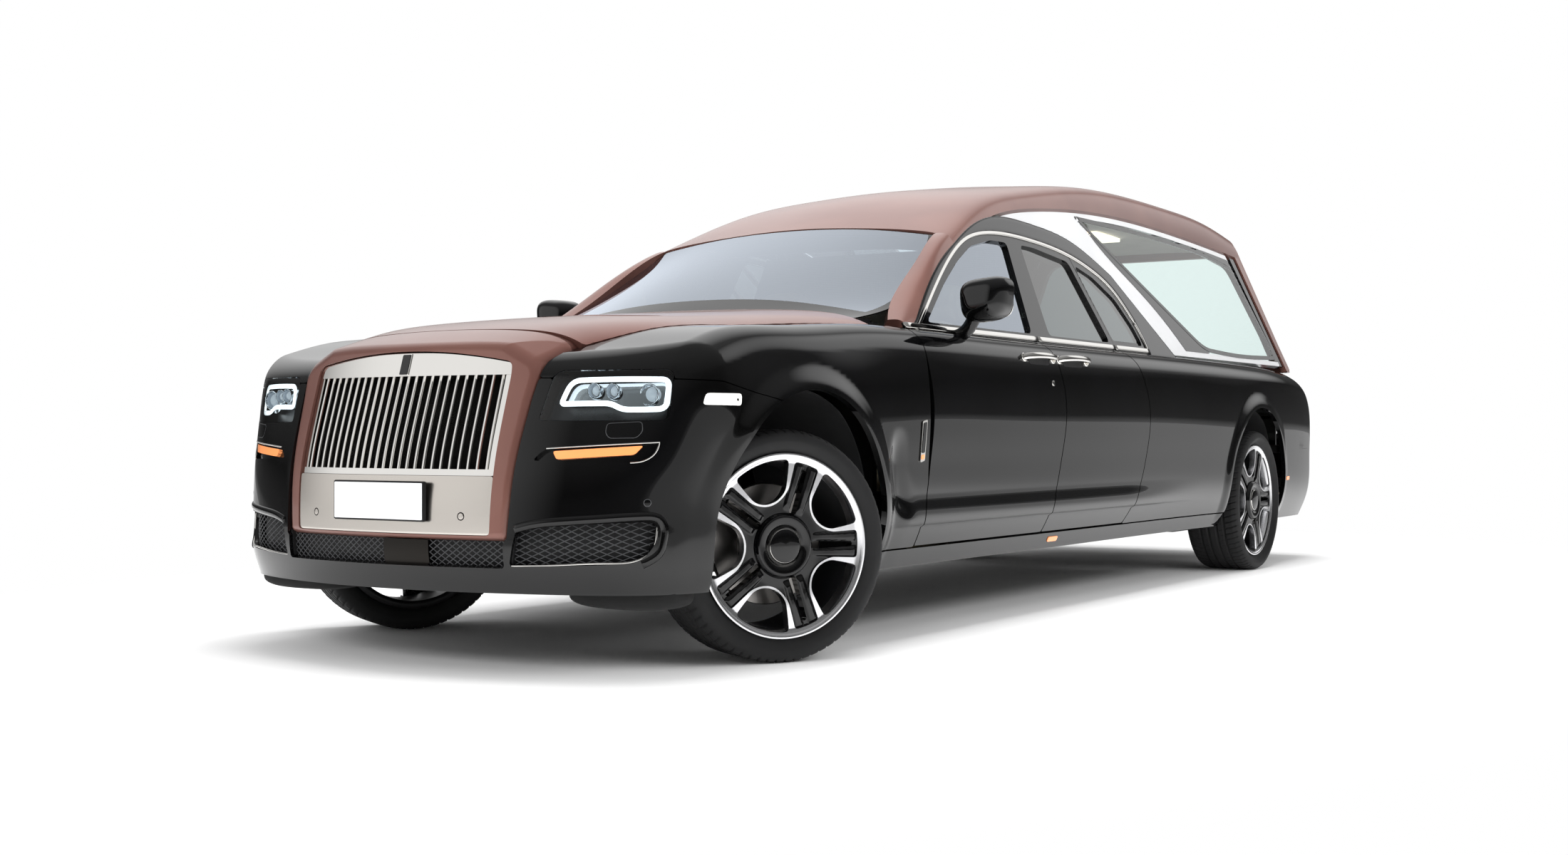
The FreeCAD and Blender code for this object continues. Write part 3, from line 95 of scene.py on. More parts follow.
# Body below the belt. Columns: station, half width at each height of SIDE_Z,
# then x and z of the hood's edge and z on the middle line.
SIDE_Z = (0.245, 0.39, 0.6, 0.78, 0.945, 1.12)
BODY = mm([
    (-870, 850, 900, 910, 905, 900, 870, 490, 900, 925),
    (-580, 880, 925, 935, 935, 925, 890, 505, 952, 1022),
    (-300, 888, 935, 950, 952, 925, 890, 598, 1026, 1072),
    (0, 892, 942, 962, 966, 945, 905, 655, 1050, 1103),
    (400, 888, 938, 958, 964, 948, 915, 730, 1073, 1136),
    (770, 885, 938, 957, 965, 952, 925, 800, 1080, 1158),
    (1400, 885, 939, 957, 965, 953, 928, 800, 1078, 1080),
    (2400, 885, 940, 958, 966, 955, 930, 800, 1076, 1078),
    (3400, 885, 940, 959, 967, 955, 930, 800, 1076, 1078),
    (4440, 900, 950, 968, 974, 958, 930, 790, 1070, 1072),
    (5000, 890, 935, 955, 962, 945, 915, 770, 1058, 1060),
    (5350, 880, 920, 938, 944, 920, 885, 720, 1030, 1034),
    (5670, 850, 890, 910, 912, 880, 840, 600, 985, 990)])
# Nose: height, foremost station, half width at which it has turned to the side.
NOSE = mm([(245, -835, 975), (330, -864, 975), (450, -866, 975), (600, -848, 990), (760, -800, 1030),
    (880, -755, 1065), (1120, -650, 1080)])
# Tail: height, rearmost station.
TAIL = mm([(245, 5560), (330, 5640), (560, 5668), (800, 5660), (930, 5610), (1010, 5480), (1120, 5300)])
GRILLE_NOSE = mm([(380, -862, 975), (590, -850, 990), (780, -800, 1030), (950, -748, 1070),
    (1060, -716, 1080)])
TAIL_TURN_X = 0.975          # half width at which the tail has turned to the side

# Roof: station, cant z (on the side plane), edge x, edge z, z at ROOF_MID_X, crown z.
ROOF_MID_X = 0.33
ROOF = mm([
    (1440, 1436, 640, 1482, 1518, 1532),
    (1940, 1602, 585, 1668, 1703, 1717),
    (2400, 1680, 560, 1756, 1790, 1804),
    (3170, 1742, 540, 1850, 1884, 1900),
    (4260, 1738, 545, 1870, 1898, 1912),
    (4830, 1712, 553, 1846, 1872, 1886),
    (5200, 1688, 560, 1796, 1822, 1836)])
# Front pillar: station, outer z (on the side plane), inner x, inner z.
PILLAR = mm([(790, 1058, 800, 1100), (885, 1112, 752, 1155), (1200, 1320, 690, 1350), (1440, 1436, 645, 1480),
    (1520, 1470, 632, 1500)])
# Windscreen: station, edge x, edge z, mid x, mid z, centre z.
SCREEN = mm([(705, 700, 1108, 360, 1142, 1152), (860, 752, 1146, 400, 1214, 1238),
    (1438, 645, 1476, 380, 1512, 1530)])

# Outlines on the side, as (station, z) points.
DOOR_LOW = 0.314
FRONT_SHUT = [(0.765, DOOR_LOW), (0.806, 0.56), (0.826, 0.8), (0.8, 0.98), (0.764, 1.122)]
MIDDLE_SHUT = [(1.818, DOOR_LOW), (1.908, 0.536), (1.957, 0.886), (1.9, 1.03), (1.855, 1.122)]
REAR_SHUT = [(2.669, DOOR_LOW), (2.787, 0.464), (2.879, 0.851), (2.8, 1.0), (2.667, 1.122)]
RAIL_CURVE = [(0.812, 1.078), (0.885, 1.112), (1.2, 1.32), (1.44, 1.436), (1.6, 1.505), (1.941, 1.597),
    (2.3, 1.6), (2.7, 1.552), (3.0, 1.432), (3.44, BELT_Z)]
FRAME_CURVE = mm([(850, 1066), (930, 1118), (1197, 1286), (1400, 1398), (1576, 1470), (1798, 1513),
    (2215, 1520), (2572, 1487), (2780, 1437), (2962, 1345), (3060, 1215), (3094, 1089)])
FRONT_PANE = mm([(965, 1104), (1215, 1258), (1410, 1362), (1590, 1440), (1800, 1483), (1955, 1487),
    (1852, 1104)])
REAR_PANE = mm([(2022, 1104), (2086, 1489), (2215, 1489), (2545, 1455), (2664, 1104)])
QUARTER_PANE = mm([(2716, 1104), (2602, 1445), (2765, 1403), (2935, 1313), (3030, 1190), (3058, 1104)])
CARGO_PANE = mm([(2850, 1693), (3660, 1702), (4521, 1676), (4935, 1622), (5075, 1115), (4450, 1100),
    (3930, 1118), (3287, 1454)])
CARGO_RADII = [0.02, 0.3, 0.3, 0.06, 0.05, 0.3, 0.1, 0.3]

# Outlines on the front, as (x, z) points.
HEADLAMP = mm([(508, 742), (528, 888), (856, 890), (853, 742)])
FLASHER = mm([(512, 628), (544, 663), (838, 681), (827, 645), (803, 626), (774, 622)])
SIDE_INTAKE = mm([(456, 325), (724, 334), (806, 340), (838, 400), (836, 456), (583, 444), (478, 428)])


# Curves and surfaces

def weights(knots, where):
    """Natural cubic spline as weights: a row for each place, a column for each knot.

    Between two knots the value is the straight blend of both plus the cubic
    terms (a^3-a) and (b^3-b) times the second derivatives there, h^2/6 long."""
    knots = np.asarray(knots, float)
    count = len(knots)
    step = np.diff(knots)
    system = np.eye(count)
    load = np.zeros((count, count))
    for i in range(1, count - 1):
        system[i, i - 1:i + 2] = step[i - 1], 2 * (step[i - 1] + step[i]), step[i]
        load[i, i - 1:i + 2] = 6 / step[i - 1], -6 / step[i - 1] - 6 / step[i], 6 / step[i]
    bend = np.linalg.solve(system, load)
    place = np.clip(np.ravel(where), knots[0], knots[-1])
    i = np.clip(np.searchsorted(knots, place) - 1, 0, count - 2)
    a = ((knots[i + 1] - place) / step[i])[:, None]
    b = 1.0 - a
    unit = np.eye(count)
    cubic = ((a ** 3 - a) * bend[i] + (b ** 3 - b) * bend[i + 1]) * (step[i] ** 2)[:, None] / 6
    return a * unit[i] + b * unit[i + 1] + cubic


def along(points, count):
    """A smooth line through points: a natural spline over their running distance."""
    points = np.asarray(points, float)
    run = np.concatenate([[0.0], np.cumsum(np.linalg.norm(np.diff(points, axis=0), axis=1))])
    return weights(run, np.linspace(0.0, run[-1], count)) @ points


def step_between(low, high, value):
    """Rises smoothly from 0 at low to 1 at high: 3t^2 - 2t^3."""
    t = np.clip((value - low) / (high - low), 0.0, 1.0)
    return t * t * (3.0 - 2.0 * t)


def rounded(points, radii, steps=7):
    """A closed outline with each corner turned into a parabola cut radius back."""
    points = np.asarray(points, float)
    radii = np.broadcast_to(radii, len(points))
    result = []
    for i, corner in enumerate(points):
        before, after = points[i - 1] - corner, points[(i + 1) % len(points)] - corner
        cut = min(radii[i], 0.48 * np.linalg.norm(before), 0.48 * np.linalg.norm(after))
        start = corner + before / np.linalg.norm(before) * cut
        end = corner + after / np.linalg.norm(after) * cut
        t = np.linspace(0.0, 1.0, steps)[:, None]
        result.append((1 - t) ** 2 * start + 2 * t * (1 - t) * corner + t ** 2 * end)
    return np.concatenate(result)


def rect(left, low, right, high):
    """The corners of an upright rectangle."""
    return [(left, low), (right, low), (right, high), (left, high)]


def within(outline, u, v):
    """Signed distance of points to a closed outline, positive inside."""
    outline = np.asarray(outline, float)
    near = np.full(u.shape, np.inf)
    inside = np.zeros(u.shape, bool)
    for (x0, y0), (x1, y1) in zip(outline, np.roll(outline, -1, axis=0)):
        ex, ey = x1 - x0, y1 - y0
        if ex * ex + ey * ey < 1e-14:
            continue
        t = np.clip(((u - x0) * ex + (v - y0) * ey) / (ex * ex + ey * ey), 0.0, 1.0)
        near = np.minimum(near, np.hypot(u - x0 - t * ex, v - y0 - t * ey))
        crosses = (y0 > v) != (y1 > v)
        if ey != 0.0:
            inside ^= crosses & (u < x0 + (v - y0) * ex / ey)
    return np.where(inside, near, -near)


def round_max(a, b, radius):
    """The larger of two fields, with their corner rounded to a radius."""
    return np.minimum(-radius, np.maximum(a, b)) + np.hypot(np.maximum(a + radius, 0), np.maximum(b + radius,
        0))


def at(x, s, z):
    """Points from their x, station and height, each a number or an array."""
    return np.stack(np.broadcast_arrays(x, s + DATUM, z), -1)


def folded(points):
    """Distance from the middle, station and height of points."""
    return np.abs(points[:, 0]), points[:, 1] - DATUM, points[:, 2]


def plane_x(z):
    """Half width of the leaning side plane at a height."""
    return PLANE_X - PLANE_LEAN * (z - PLANE_Z)


def flare(s, z, axle, radius):
    """Swelling of the side around a wheel arch."""
    away = np.hypot(s - axle, z - ARCH_Z)
    return 0.013 * step_between(radius + 0.085, radius + 0.012, away) * step_between(0.24, 0.34, z)


def half_width(s, z):
    """Half width of the body side: spline of the table, with its flares, sill line and scallop."""
    x = np.sum((weights(BODY[:, 0], s) @ BODY[:, 1:7]) * weights(SIDE_Z, z), axis=1)
    x += flare(s, z, FRONT_AXLE, ARCH_R) + flare(s, z, REAR_AXLE, REAR_ARCH_R)
    run = step_between(0.56, 0.68, s) * step_between(3.7, 2.6, s)
    x += run * (0.013 * step_between(0.5, 0.392, z) - 0.011 * step_between(0.392, 0.382, z))
    middle = 0.58 + 1.3 * np.clip(0.66 - z, 0.0, 1.0) ** 2
    x -= (0.016 * np.exp(-((s - middle) / 0.05) ** 2) * step_between(0.4, 0.5, z) * step_between(0.74, 0.6,
        z) * step_between(0.5, 0.56, s))
    return x


def top_height(x, s):
    """Top of the fenders and hood: a crown inside the hood's edge, a slope outside it."""
    edge_x, edge_z, centre_z = (weights(BODY[:, 0], s) @ BODY[:, 7:10]).T
    share = np.clip(x / edge_x, 0.0, 1.0)
    crown = centre_z - (centre_z - edge_z) * (0.35 * share ** 2 + 0.65 * share ** 7)
    return np.where(x < edge_x, crown, edge_z - 0.03 * (x - edge_x))


def bow(x, turn_x, gentle, tight, power):
    """How far the nose or tail falls back away from the middle line."""
    share = np.minimum(x / turn_x, 1.1)
    return gentle * share ** 2 + tight * share ** power


def body(points):
    """The lower body as a field, negative inside: side, top, nose and tail with rounded corners."""
    x, s, z = folded(points)
    field = round_max(x - half_width(s, z), z - top_height(x, s), 0.085)
    nose_s, turn_x = (weights(NOSE[:, 0], z) @ NOSE[:, 1:]).T
    nose = nose_s + bow(x, turn_x, 0.28, 0.35, 12) - s
    tail = s - (weights(TAIL[:, 0], z) @ TAIL[:, 1]) + bow(x, TAIL_TURN_X, 0.04, 0.25, 20)
    return round_max(round_max(field, nose, 0.06), tail, 0.08)


def surround_x(z):
    """Half width of the grille surround at a height."""
    return np.interp(z, [0.398, 0.6, 0.81, 0.915, 0.96], [0.447, 0.458, 0.472, 0.484, 0.505])


def grille_block(points):
    """The grille's housing as a field: leaning front, sloping flanks and arched top."""
    x, s, z = folded(points)
    nose_s, turn_x = (weights(GRILLE_NOSE[:, 0], z) @ GRILLE_NOSE[:, 1:]).T
    front = nose_s + bow(x, turn_x, 0.28, 0.0, 2) - s
    flank = x - surround_x(z)
    arch = 1.022 - 0.3333 * x ** 2 - 0.25 * np.maximum(x - 0.3, 0.0) + 0.5 * np.maximum(s + 0.715, 0.0)
    top = z - np.minimum(top_height(x, s), arch)
    foot = 0.396 - z
    return round_max(round_max(round_max(flank, top, 0.04), foot, 0.02), front, 0.022)


def cast(field, base, aim, reach=0.8):
    """Where rays leave a field: each starts inside and is halved 30 times."""
    low = np.zeros(len(base))
    high = np.full(len(base), reach)
    for _ in range(30):
        middle = 0.5 * (low + high)
        inside = field(base + aim * middle[:, None]) < 0.0
        low = np.where(inside, middle, low)
        high = np.where(inside, high, middle)
    return base + aim * (0.5 * (low + high))[:, None]


def slope(field, points, step=1.5e-3):
    """Unit normals of a field at points, from its differences along the axes."""
    normal = np.stack([field(points + offset) - field(points - offset) for offset in np.eye(3) * step],
        axis=1)
    return normal / np.linalg.norm(normal, axis=1)[:, None]


# Meshes

def sheet_faces(rows, columns, wrap=False):
    """Triangles of a grid stored row by row; wrap joins its last column to its first."""
    index = np.arange(rows * columns).reshape(rows, columns)
    if wrap:
        index = np.concatenate([index, index[:, :1]], axis=1)
    a, b, c, d = index[:-1, :-1].ravel(), index[:-1, 1:].ravel(), index[1:, 1:].ravel(), index[1:,
        :-1].ravel()
    return np.concatenate([np.stack([a, b, c], 1), np.stack([a, c, d], 1)])


def trim(points, faces, value):
    """Keeps the part of a mesh where value is positive, cutting triangles at its zero."""
    keep = value > 0.0
    count = keep[faces].sum(axis=1)
    ends = []

    def corners(kept, wanted):
        """Triangles with their odd corner first, and the numbers of the points cut on its two edges."""
        tris = faces[count == kept]
        first = np.argmax(keep[tris] == wanted, axis=1)
        a, b, c = (tris[np.arange(len(tris)), (first + turn) % 3] for turn in range(3))
        start = len(points) + sum(len(part) for part in ends)
        ends.extend([np.sort(np.stack([a, b], 1), axis=1), np.sort(np.stack([a, c], 1), axis=1)])
        ab = np.arange(start, start + len(a))
        return a, b, c, ab, ab + len(a)

    a, b, c, ab, ac = corners(1, True)
    parts = [faces[count == 3], np.stack([a, ab, ac], 1)]
    a, b, c, ab, ac = corners(2, False)
    parts += [np.stack([ab, b, c], 1), np.stack([ab, c, ac], 1)]
    unique, back = np.unique(np.concatenate(ends), axis=0, return_inverse=True)
    low, high = unique.T
    share = (value[low] / (value[low] - value[high]))[:, None]
    every = np.concatenate([points, points[low] * (1 - share) + points[high] * share])
    result = np.concatenate(parts)
    late = result >= len(points)
    result[late] = len(points) + back.ravel()[result[late] - len(points)]
    used, result = np.unique(result, return_inverse=True)
    return every[used], result.reshape(-1, 3)


def rim_edges(faces):
    """The edges that only one triangle has, in that triangle's direction."""
    edges = np.concatenate([faces[:, [0, 1]], faces[:, [1, 2]], faces[:, [2, 0]]])
    _, back, count = np.unique(np.sort(edges, axis=1), axis=0, return_inverse=True, return_counts=True)
    return edges[count[back.ravel()] == 1]


def mirror_x(points, faces, normals=None):
    flip = np.array([-1.0, 1.0, 1.0])
    return points * flip, faces[:, ::-1], None if normals is None else normals * flip


class Shell:
    """Triangles collected for one object, each corner with its own normal."""

    def __init__(self):
        self.points, self.faces, self.normals, self.marks = [], [], [], []
        self.count = 0

    def add(self, points, faces, corner_normals=None, mark=0):
        points, faces = np.asarray(points, float), np.asarray(faces, int)
        if corner_normals is None:
            corner_normals = smooth_normals(points, faces)[faces]
        self.points.append(points)
        self.faces.append(faces + self.count)
        self.normals.append(corner_normals.reshape(-1, 3))
        self.marks.append(np.full(len(faces), mark))
        self.count += len(points)
        return self

    def panel(self, points, faces, normals, depth, mark=0, inward=None):
        """A skin with its edges turned in by a depth, as a pressed panel's are."""
        edges = rim_edges(faces)
        lip, back = np.unique(edges, return_inverse=True)
        back = back.reshape(-1, 2)
        turn = -normals[lip] if inward is None else np.broadcast_to(inward, (len(lip), 3))
        every = np.concatenate([points, points[lip] + turn * depth])
        a, b = edges.T
        a_in, b_in = len(points) + back[:, 0], len(points) + back[:, 1]
        side = np.cross(points[b] - points[a], normals[a])
        side /= np.maximum(np.linalg.norm(side, axis=1), 1e-9)[:, None]
        strips = np.concatenate([np.stack([b, a, a_in], 1), np.stack([b, a_in, b_in], 1)])
        corner = np.concatenate([normals[faces].reshape(-1, 3), np.repeat(np.concatenate([side, side]), 3,
            axis=0)])
        return self.add(every, np.concatenate([faces, strips]), corner, mark)

    def skin(self, points, faces, normals, depth, mark=0, sides=BOTH, inward=None):
        """A panel on the left, its mirror image on the right, or both."""
        for side in sides:
            piece = (points, faces, normals) if side > 0 else mirror_x(points, faces, normals)
            self.panel(*piece, depth, mark, inward)

    def form(self, points, faces, mark=0, sides=LEFT, flat=False):
        """A form on the left, its mirror image on the right, or both, with smooth or flat normals."""
        for side in sides:
            p, f = (points, faces) if side > 0 else mirror_x(points, faces)[:2]
            self.add(p, f, flat_corners(p, f) if flat else None, mark)

    def build(self, name, finishes, replaces=(), body_name="body"):
        """Makes the object, with its finishes named in one string, and empties the shell for the next."""
        points, faces, normals = (np.concatenate(part) for part in (self.points, self.faces, self.normals))
        mesh = bpy.data.meshes.new(name)
        mesh.from_pydata(points.tolist(), [], faces.tolist())
        mesh.polygons.foreach_set("material_index", np.concatenate(self.marks).astype(np.int32))
        mesh.polygons.foreach_set("use_smooth", np.ones(len(faces), bool))
        mesh.normals_split_custom_set(normals.tolist())
        for key in finishes.split():
            mesh.materials.append(M[key])
        piece = bpy.data.objects.new(name, mesh)
        bpy.context.scene.collection.objects.link(piece)
        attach(piece, body_name)
        if replaces:
            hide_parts(*replaces)
        self.__init__()
        return piece


def facets(points, faces):
    """Normals of triangles, as long as twice their areas."""
    a, b, c = (points[faces[:, corner]] for corner in range(3))
    return np.cross(b - a, c - a)


def smooth_normals(points, faces):
    """Area-weighted normals at the points of a mesh."""
    flat = facets(points, faces)
    normals = np.zeros_like(points)
    for corner in range(3):
        np.add.at(normals, faces[:, corner], flat)
    return normals / np.maximum(np.linalg.norm(normals, axis=1), 1e-12)[:, None]


def looking(points, faces, axis, sign=1.0):
    """Faces and smooth normals of a sheet, turned to look along an axis."""
    normals = smooth_normals(points, faces)
    return (faces, normals) if normals[:, axis].sum() * sign > 0.0 else (faces[:, ::-1], -normals)


def lofted(x, s, z):
    """Points and faces of a sheet whose rows of x and z stand at the stations s."""
    return at(x, s[:, None], z).reshape(-1, 3), sheet_faces(*x.shape)


def flat_corners(points, faces):
    """One normal a triangle, repeated at its corners, for flat facets."""
    flat = facets(points, faces)
    flat /= np.maximum(np.linalg.norm(flat, axis=1), 1e-12)[:, None]
    return np.repeat(flat, 3, axis=0)


# Materials

def shade(code, alpha=1.0):
    """An sRGB hex colour as linear values."""
    parts = [int(code[i:i + 2], 16) / 255.0 for i in (1, 3, 5)]
    return tuple(c / 12.92 if c <= 0.04045 else ((c + 0.055) / 1.055) ** 2.4 for c in parts) + (alpha,)


def add(tree, kind, inputs=None, **settings):
    """Adds a node, sets its settings, and fills its inputs with values or with other nodes' outputs."""
    node = tree.nodes.new("ShaderNode" + kind)
    for key, value in settings.items():
        setattr(node, key, value)
    for key, value in (inputs or {}).items():
        if isinstance(value, bpy.types.NodeSocket):
            tree.links.new(value, node.inputs[key])
        else:
            node.inputs[key].default_value = value
    return node


def blank(name):
    """A new material with an output node, and its tree."""
    material = bpy.data.materials.new(name)
    material.use_nodes = True
    material.node_tree.nodes.clear()
    return material, material.node_tree


def finish_with(tree, shader):
    tree.links.new(shader, add(tree, "OutputMaterial").inputs["Surface"])


def painted(material, values):
    """Ends a material with one Principled shader."""
    finish_with(material.node_tree, add(material.node_tree, "BsdfPrincipled", values).outputs[0])
    return material


def place(tree):
    return add(tree, "TexCoord").outputs["Object"]


def speckle(tree, scale, detail=2.0):
    """Noise on the object's own coordinates; scale is cycles a metre."""
    return add(tree, "TexNoise", {"Vector": place(tree), "Scale": scale, "Detail": detail}).outputs["Fac"]


def varied(tree, factor, low, high, spread=(0.35, 0.65)):
    """A colour that drifts between two hex values with a factor."""
    ramp = add(tree, "ValToRGB", {"Fac": factor})
    ramp.color_ramp.elements[0].position, ramp.color_ramp.elements[1].position = spread
    ramp.color_ramp.elements[0].color, ramp.color_ramp.elements[1].color = shade(low), shade(high)
    return ramp.outputs["Color"]


def remapped(tree, factor, low, high):
    return add(tree, "MapRange", {"Value": factor, "From Min": 0.3, "From Max": 0.7, "To Min": low,
        "To Max": high}).outputs["Result"]


def bumped(tree, height, strength, distance):
    return add(tree, "Bump", {"Height": height, "Strength": strength, "Distance": distance}).outputs["Normal"]


def lacquer(name, low, high, metallic=0.0, base_roughness=0.25, flake=0.0, coat=1.0, coat_ior=1.5):
    """Sprayed two-coat paint under clear lacquer: deep colour, faint orange peel, mirror gloss."""
    material, tree = blank(name)
    colour = varied(tree, speckle(tree, 3.0), low, high)
    peel = speckle(tree, 220.0, 1.0)                       # orange peel about 5 mm apart
    values = {"Base Color": colour, "Metallic": metallic, "Roughness": base_roughness, "Coat Weight": coat,
        "Coat Roughness": 0.02, "Coat IOR": coat_ior, "Coat Normal": bumped(tree, peel, 0.02, 0.001)}
    if flake:
        grains = add(tree, "TexVoronoi", {"Vector": place(tree), "Scale": 700.0})  # metallic flakes
        values["Normal"] = bumped(tree, grains.outputs["Distance"], flake, 0.001)
    return painted(material, values)


def metal(name, code, roughness, scale=40.0, rub=0.03):
    """Solid metal with faint polishing haze."""
    material, tree = blank(name)
    haze = speckle(tree, scale)
    values = {"Base Color": varied(tree, haze, code, code), "Metallic": 1.0, "Roughness": remapped(tree, haze,
        roughness, roughness + rub)}
    return painted(material, values)


def moulding(name, low, high, roughness, grain=900.0, depth=0.15):
    """Injection-moulded or rubber surface with a fine matt grain."""
    material, tree = blank(name)
    cloud = speckle(tree, 14.0)
    grit = speckle(tree, grain, 1.0)
    values = {"Base Color": varied(tree, cloud, low, high), "Roughness": remapped(tree, cloud,
        roughness - 0.05, roughness + 0.05), "Normal": bumped(tree, grit, depth, 0.001)}
    return painted(material, values)


def glazing(name, tint, clear, sheen="#FFFFFF", least=0.02):
    """Thin float glass: see-through with a tint, and a mirrored share from least up to its edges."""
    material, tree = blank(name)
    mist = speckle(tree, 5.0)
    through = add(tree, "BsdfTransparent", {"Color": varied(tree, mist, tint, tint)})
    gloss = add(tree, "BsdfGlossy", {"Color": shade(sheen), "Roughness": 0.0})
    edge = add(tree, "Fresnel", {"IOR": 1.5})
    share = add(tree, "Math", {0: edge.outputs[0], 1: clear}, operation="MULTIPLY_ADD")
    share.inputs[2].default_value = least
    mix = add(tree, "MixShader", {0: share.outputs[0], 1: through.outputs[0], 2: gloss.outputs[0]})
    finish_with(tree, mix.outputs[0])
    return material


def lens(name, code, glow, strength, roughness=0.08):
    """Moulded polycarbonate lens over a lit lamp."""
    material, tree = blank(name)
    ribs = add(tree, "TexWave", {"Vector": place(tree), "Scale": 40.0}, bands_direction="X")
    values = {"Base Color": varied(tree, ribs.outputs["Fac"], code, code), "Roughness": roughness,
        "Emission Color": shade(glow), "Emission Strength": strength, "Coat Weight": 0.6,
        "Normal": bumped(tree, ribs.outputs["Fac"], 0.1, 0.002)}
    return painted(material, values)


def cloth(name, low, high, spacing, roughness=0.9):
    """Woven lining: crossed threads a spacing apart (drawn coarse enough to show)."""
    material, tree = blank(name)
    threads = []
    for axis in ("X", "Y", "Z"):
        threads.append(add(tree, "TexWave", {"Vector": place(tree), "Scale": 0.16 / spacing,
            "Distortion": 0.6}, bands_direction=axis))
    sum_two = add(tree, "Math", {0: threads[0].outputs["Fac"], 1: threads[1].outputs["Fac"]})
    sum_all = add(tree, "Math", {0: sum_two.outputs[0], 1: threads[2].outputs["Fac"]})
    values = {"Base Color": varied(tree, speckle(tree, 9.0), low, high), "Roughness": roughness,
        "Sheen Weight": 0.2, "Normal": bumped(tree, sum_all.outputs[0], 0.2, 0.001)}
    return painted(material, values)


def hide(name, low, high):
    """Pigmented hide: pebbled grain about 3 mm across with soft creases."""
    material, tree = blank(name)
    pebbles = add(tree, "TexVoronoi", {"Vector": place(tree), "Scale": 330.0})
    values = {"Base Color": varied(tree, speckle(tree, 6.0), low, high), "Roughness": 0.45,
        "Normal": bumped(tree, pebbles.outputs["Distance"], 0.25, 0.001)}
    return painted(material, values)


M = {}


def make_materials():
    """Every finish of the car, once."""
    M["black"] = lacquer("black_polyester_lacquer", "#040404", "#070708", coat=0.0, base_roughness=0.03)
    M["copper"] = lacquer("rose_copper_metallic_lacquer", "#7B5148", "#845A50", 0.6, 0.42, 0.12, coat=0.6)
    M["silver"] = lacquer("silver_metallic_lacquer", "#D2D3D5", "#DADBDD", 0.35, 0.36, 0.1)
    M["chrome"] = metal("chromed_brass", "#E4E2DE", 0.05)
    M["brushed"] = metal("satin_stainless_steel", "#CFC9C2", 0.22)
    M["machined"] = metal("diamond_turned_alloy", "#E6E6E8", 0.2)
    M["barrel"] = moulding("satin_black_barrel", "#121213", "#1A1A1C", 0.4, 900.0, 0.05)
    M["wire"] = moulding("graphite_netting", "#3A3B3D", "#48494B", 0.42, 900.0, 0.05)
    M["frit"] = moulding("black_ceramic_border", "#050505", "#080808", 0.12, 900.0, 0.0)
    M["lamp_black"] = moulding("lamp_housing", "#101114", "#16181C", 0.3, 900.0, 0.05)
    M["ceiling_lamp"] = lens("opal_ceiling_lamp", "#FFF6E6", "#FFF2DC", 2.0)
    M["dark_metal"] = metal("dark_vanes_behind_chrome", "#2A2826", 0.3)
    M["moulded"] = moulding("moulded_black_plastic", "#0C0C0D", "#131315", 0.62)
    M["underseal"] = moulding("stone_chip_underseal", "#0A0A0A", "#121212", 0.8, 300.0, 0.5)
    M["rubber"] = moulding("tyre_rubber", "#101011", "#161617", 0.72)
    M["iron"] = moulding("sand_cast_iron", "#2A2A2B", "#38383A", 0.7, 400.0, 0.6)
    M["disc"] = metal("turned_brake_iron", "#8A8784", 0.3)
    M["glass"] = glazing("green_tinted_float_glass", "#DCEAE8", 0.9)
    M["dark_glass"] = glazing("privacy_glass", "#4A5557", 1.3)
    # The windscreen's pale bluish mirror colour is a painted bluish reflection tint, made strong by its high
    # least share; the front door panes use it too.
    M["screen"] = glazing("laminated_windscreen", "#CDD9E0", 1.5, "#DCE4EF", 0.26)
    M["cargo_glass"] = glazing("sea_green_float_glass", "#EDF8F6", 0.8)
    M["lamp_cover"] = glazing("clear_polycarbonate", "#F4FAFB", 0.8)
    M["lamp_ring"] = lens("light_guide", "#FFFFFF", "#F3FBFF", 1.4)
    M["lamp_chrome"] = metal("vacuum_metallised_bowl", "#D5DADF", 0.08)
    M["projector"] = lens("projector_lens", "#7F8890", "#D5E0EA", 0.4, 0.02)
    M["amber"] = lens("amber_lens", "#E88A50", "#FFA468", 0.55)
    M["clear_lens"] = lens("frosted_side_lens", "#F2F1EE", "#FFFFFF", 0.25)
    M["red"] = lens("ruby_lens", "#7A0508", "#A01014", 0.15)
    M["plate"] = moulding("reflective_plate_film", "#F1F2F4", "#F7F8FA", 0.38, 1600.0, 0.05)
    M["lining"] = cloth("grey_wool_lining", "#A9ABAC", "#B5B7B8", 0.004)
    M["headliner"] = cloth("pale_headlining", "#C8C4BC", "#D2CEC6", 0.004)
    M["cream"] = hide("cream_hide", "#D8C6A4", "#E2D2B2")
    M["dash"] = hide("black_hide", "#171616", "#201E1E")


def dress(names, key):
    """Gives CAD nodes a finish, in their objects' own material slots."""
    for name in names:
        for place_for in frame["nodes"][name].material_slots:
            place_for.link = "OBJECT"
            place_for.material = M[key]


# Rays over the body, sweeps and slabs

RING_X, RING_Z = 0.66, 0.86    # the lengthwise line that rays over the shoulder spread from
CORNER_S = -0.35                # station of the upright line that rays over the front corner spread from
CELL = 0.009


def uprights(low_z, top_z=RING_Z):
    """Heights up a side, CELL apart."""
    return np.linspace(low_z, top_z, max(2, int(round((top_z - low_z) / CELL))), endpoint=False)


def fan(low_z, reach_up=90.0, top_x=None):
    """Starts and aims of rays in a cross-section: up the side, round the shoulder, over the top."""
    z = uprights(low_z)
    angle = np.radians(np.linspace(0.0, reach_up, int(reach_up / 90.0 * 38)))
    x = [] if top_x is None else np.linspace(RING_X, top_x, int(abs(RING_X - top_x) / CELL))[1:]
    start = np.concatenate([np.stack([np.full(len(z), RING_X), z], 1), np.tile([RING_X, RING_Z],
        (len(angle), 1)), np.stack([x, np.full(len(x), RING_Z)], 1).reshape(-1, 2)])
    aim = np.concatenate([np.tile([1.0, 0.0], (len(z), 1)), np.stack([np.cos(angle), np.sin(angle)], 1),
        np.tile([0.0, 1.0], (len(x), 1))])
    return start, aim


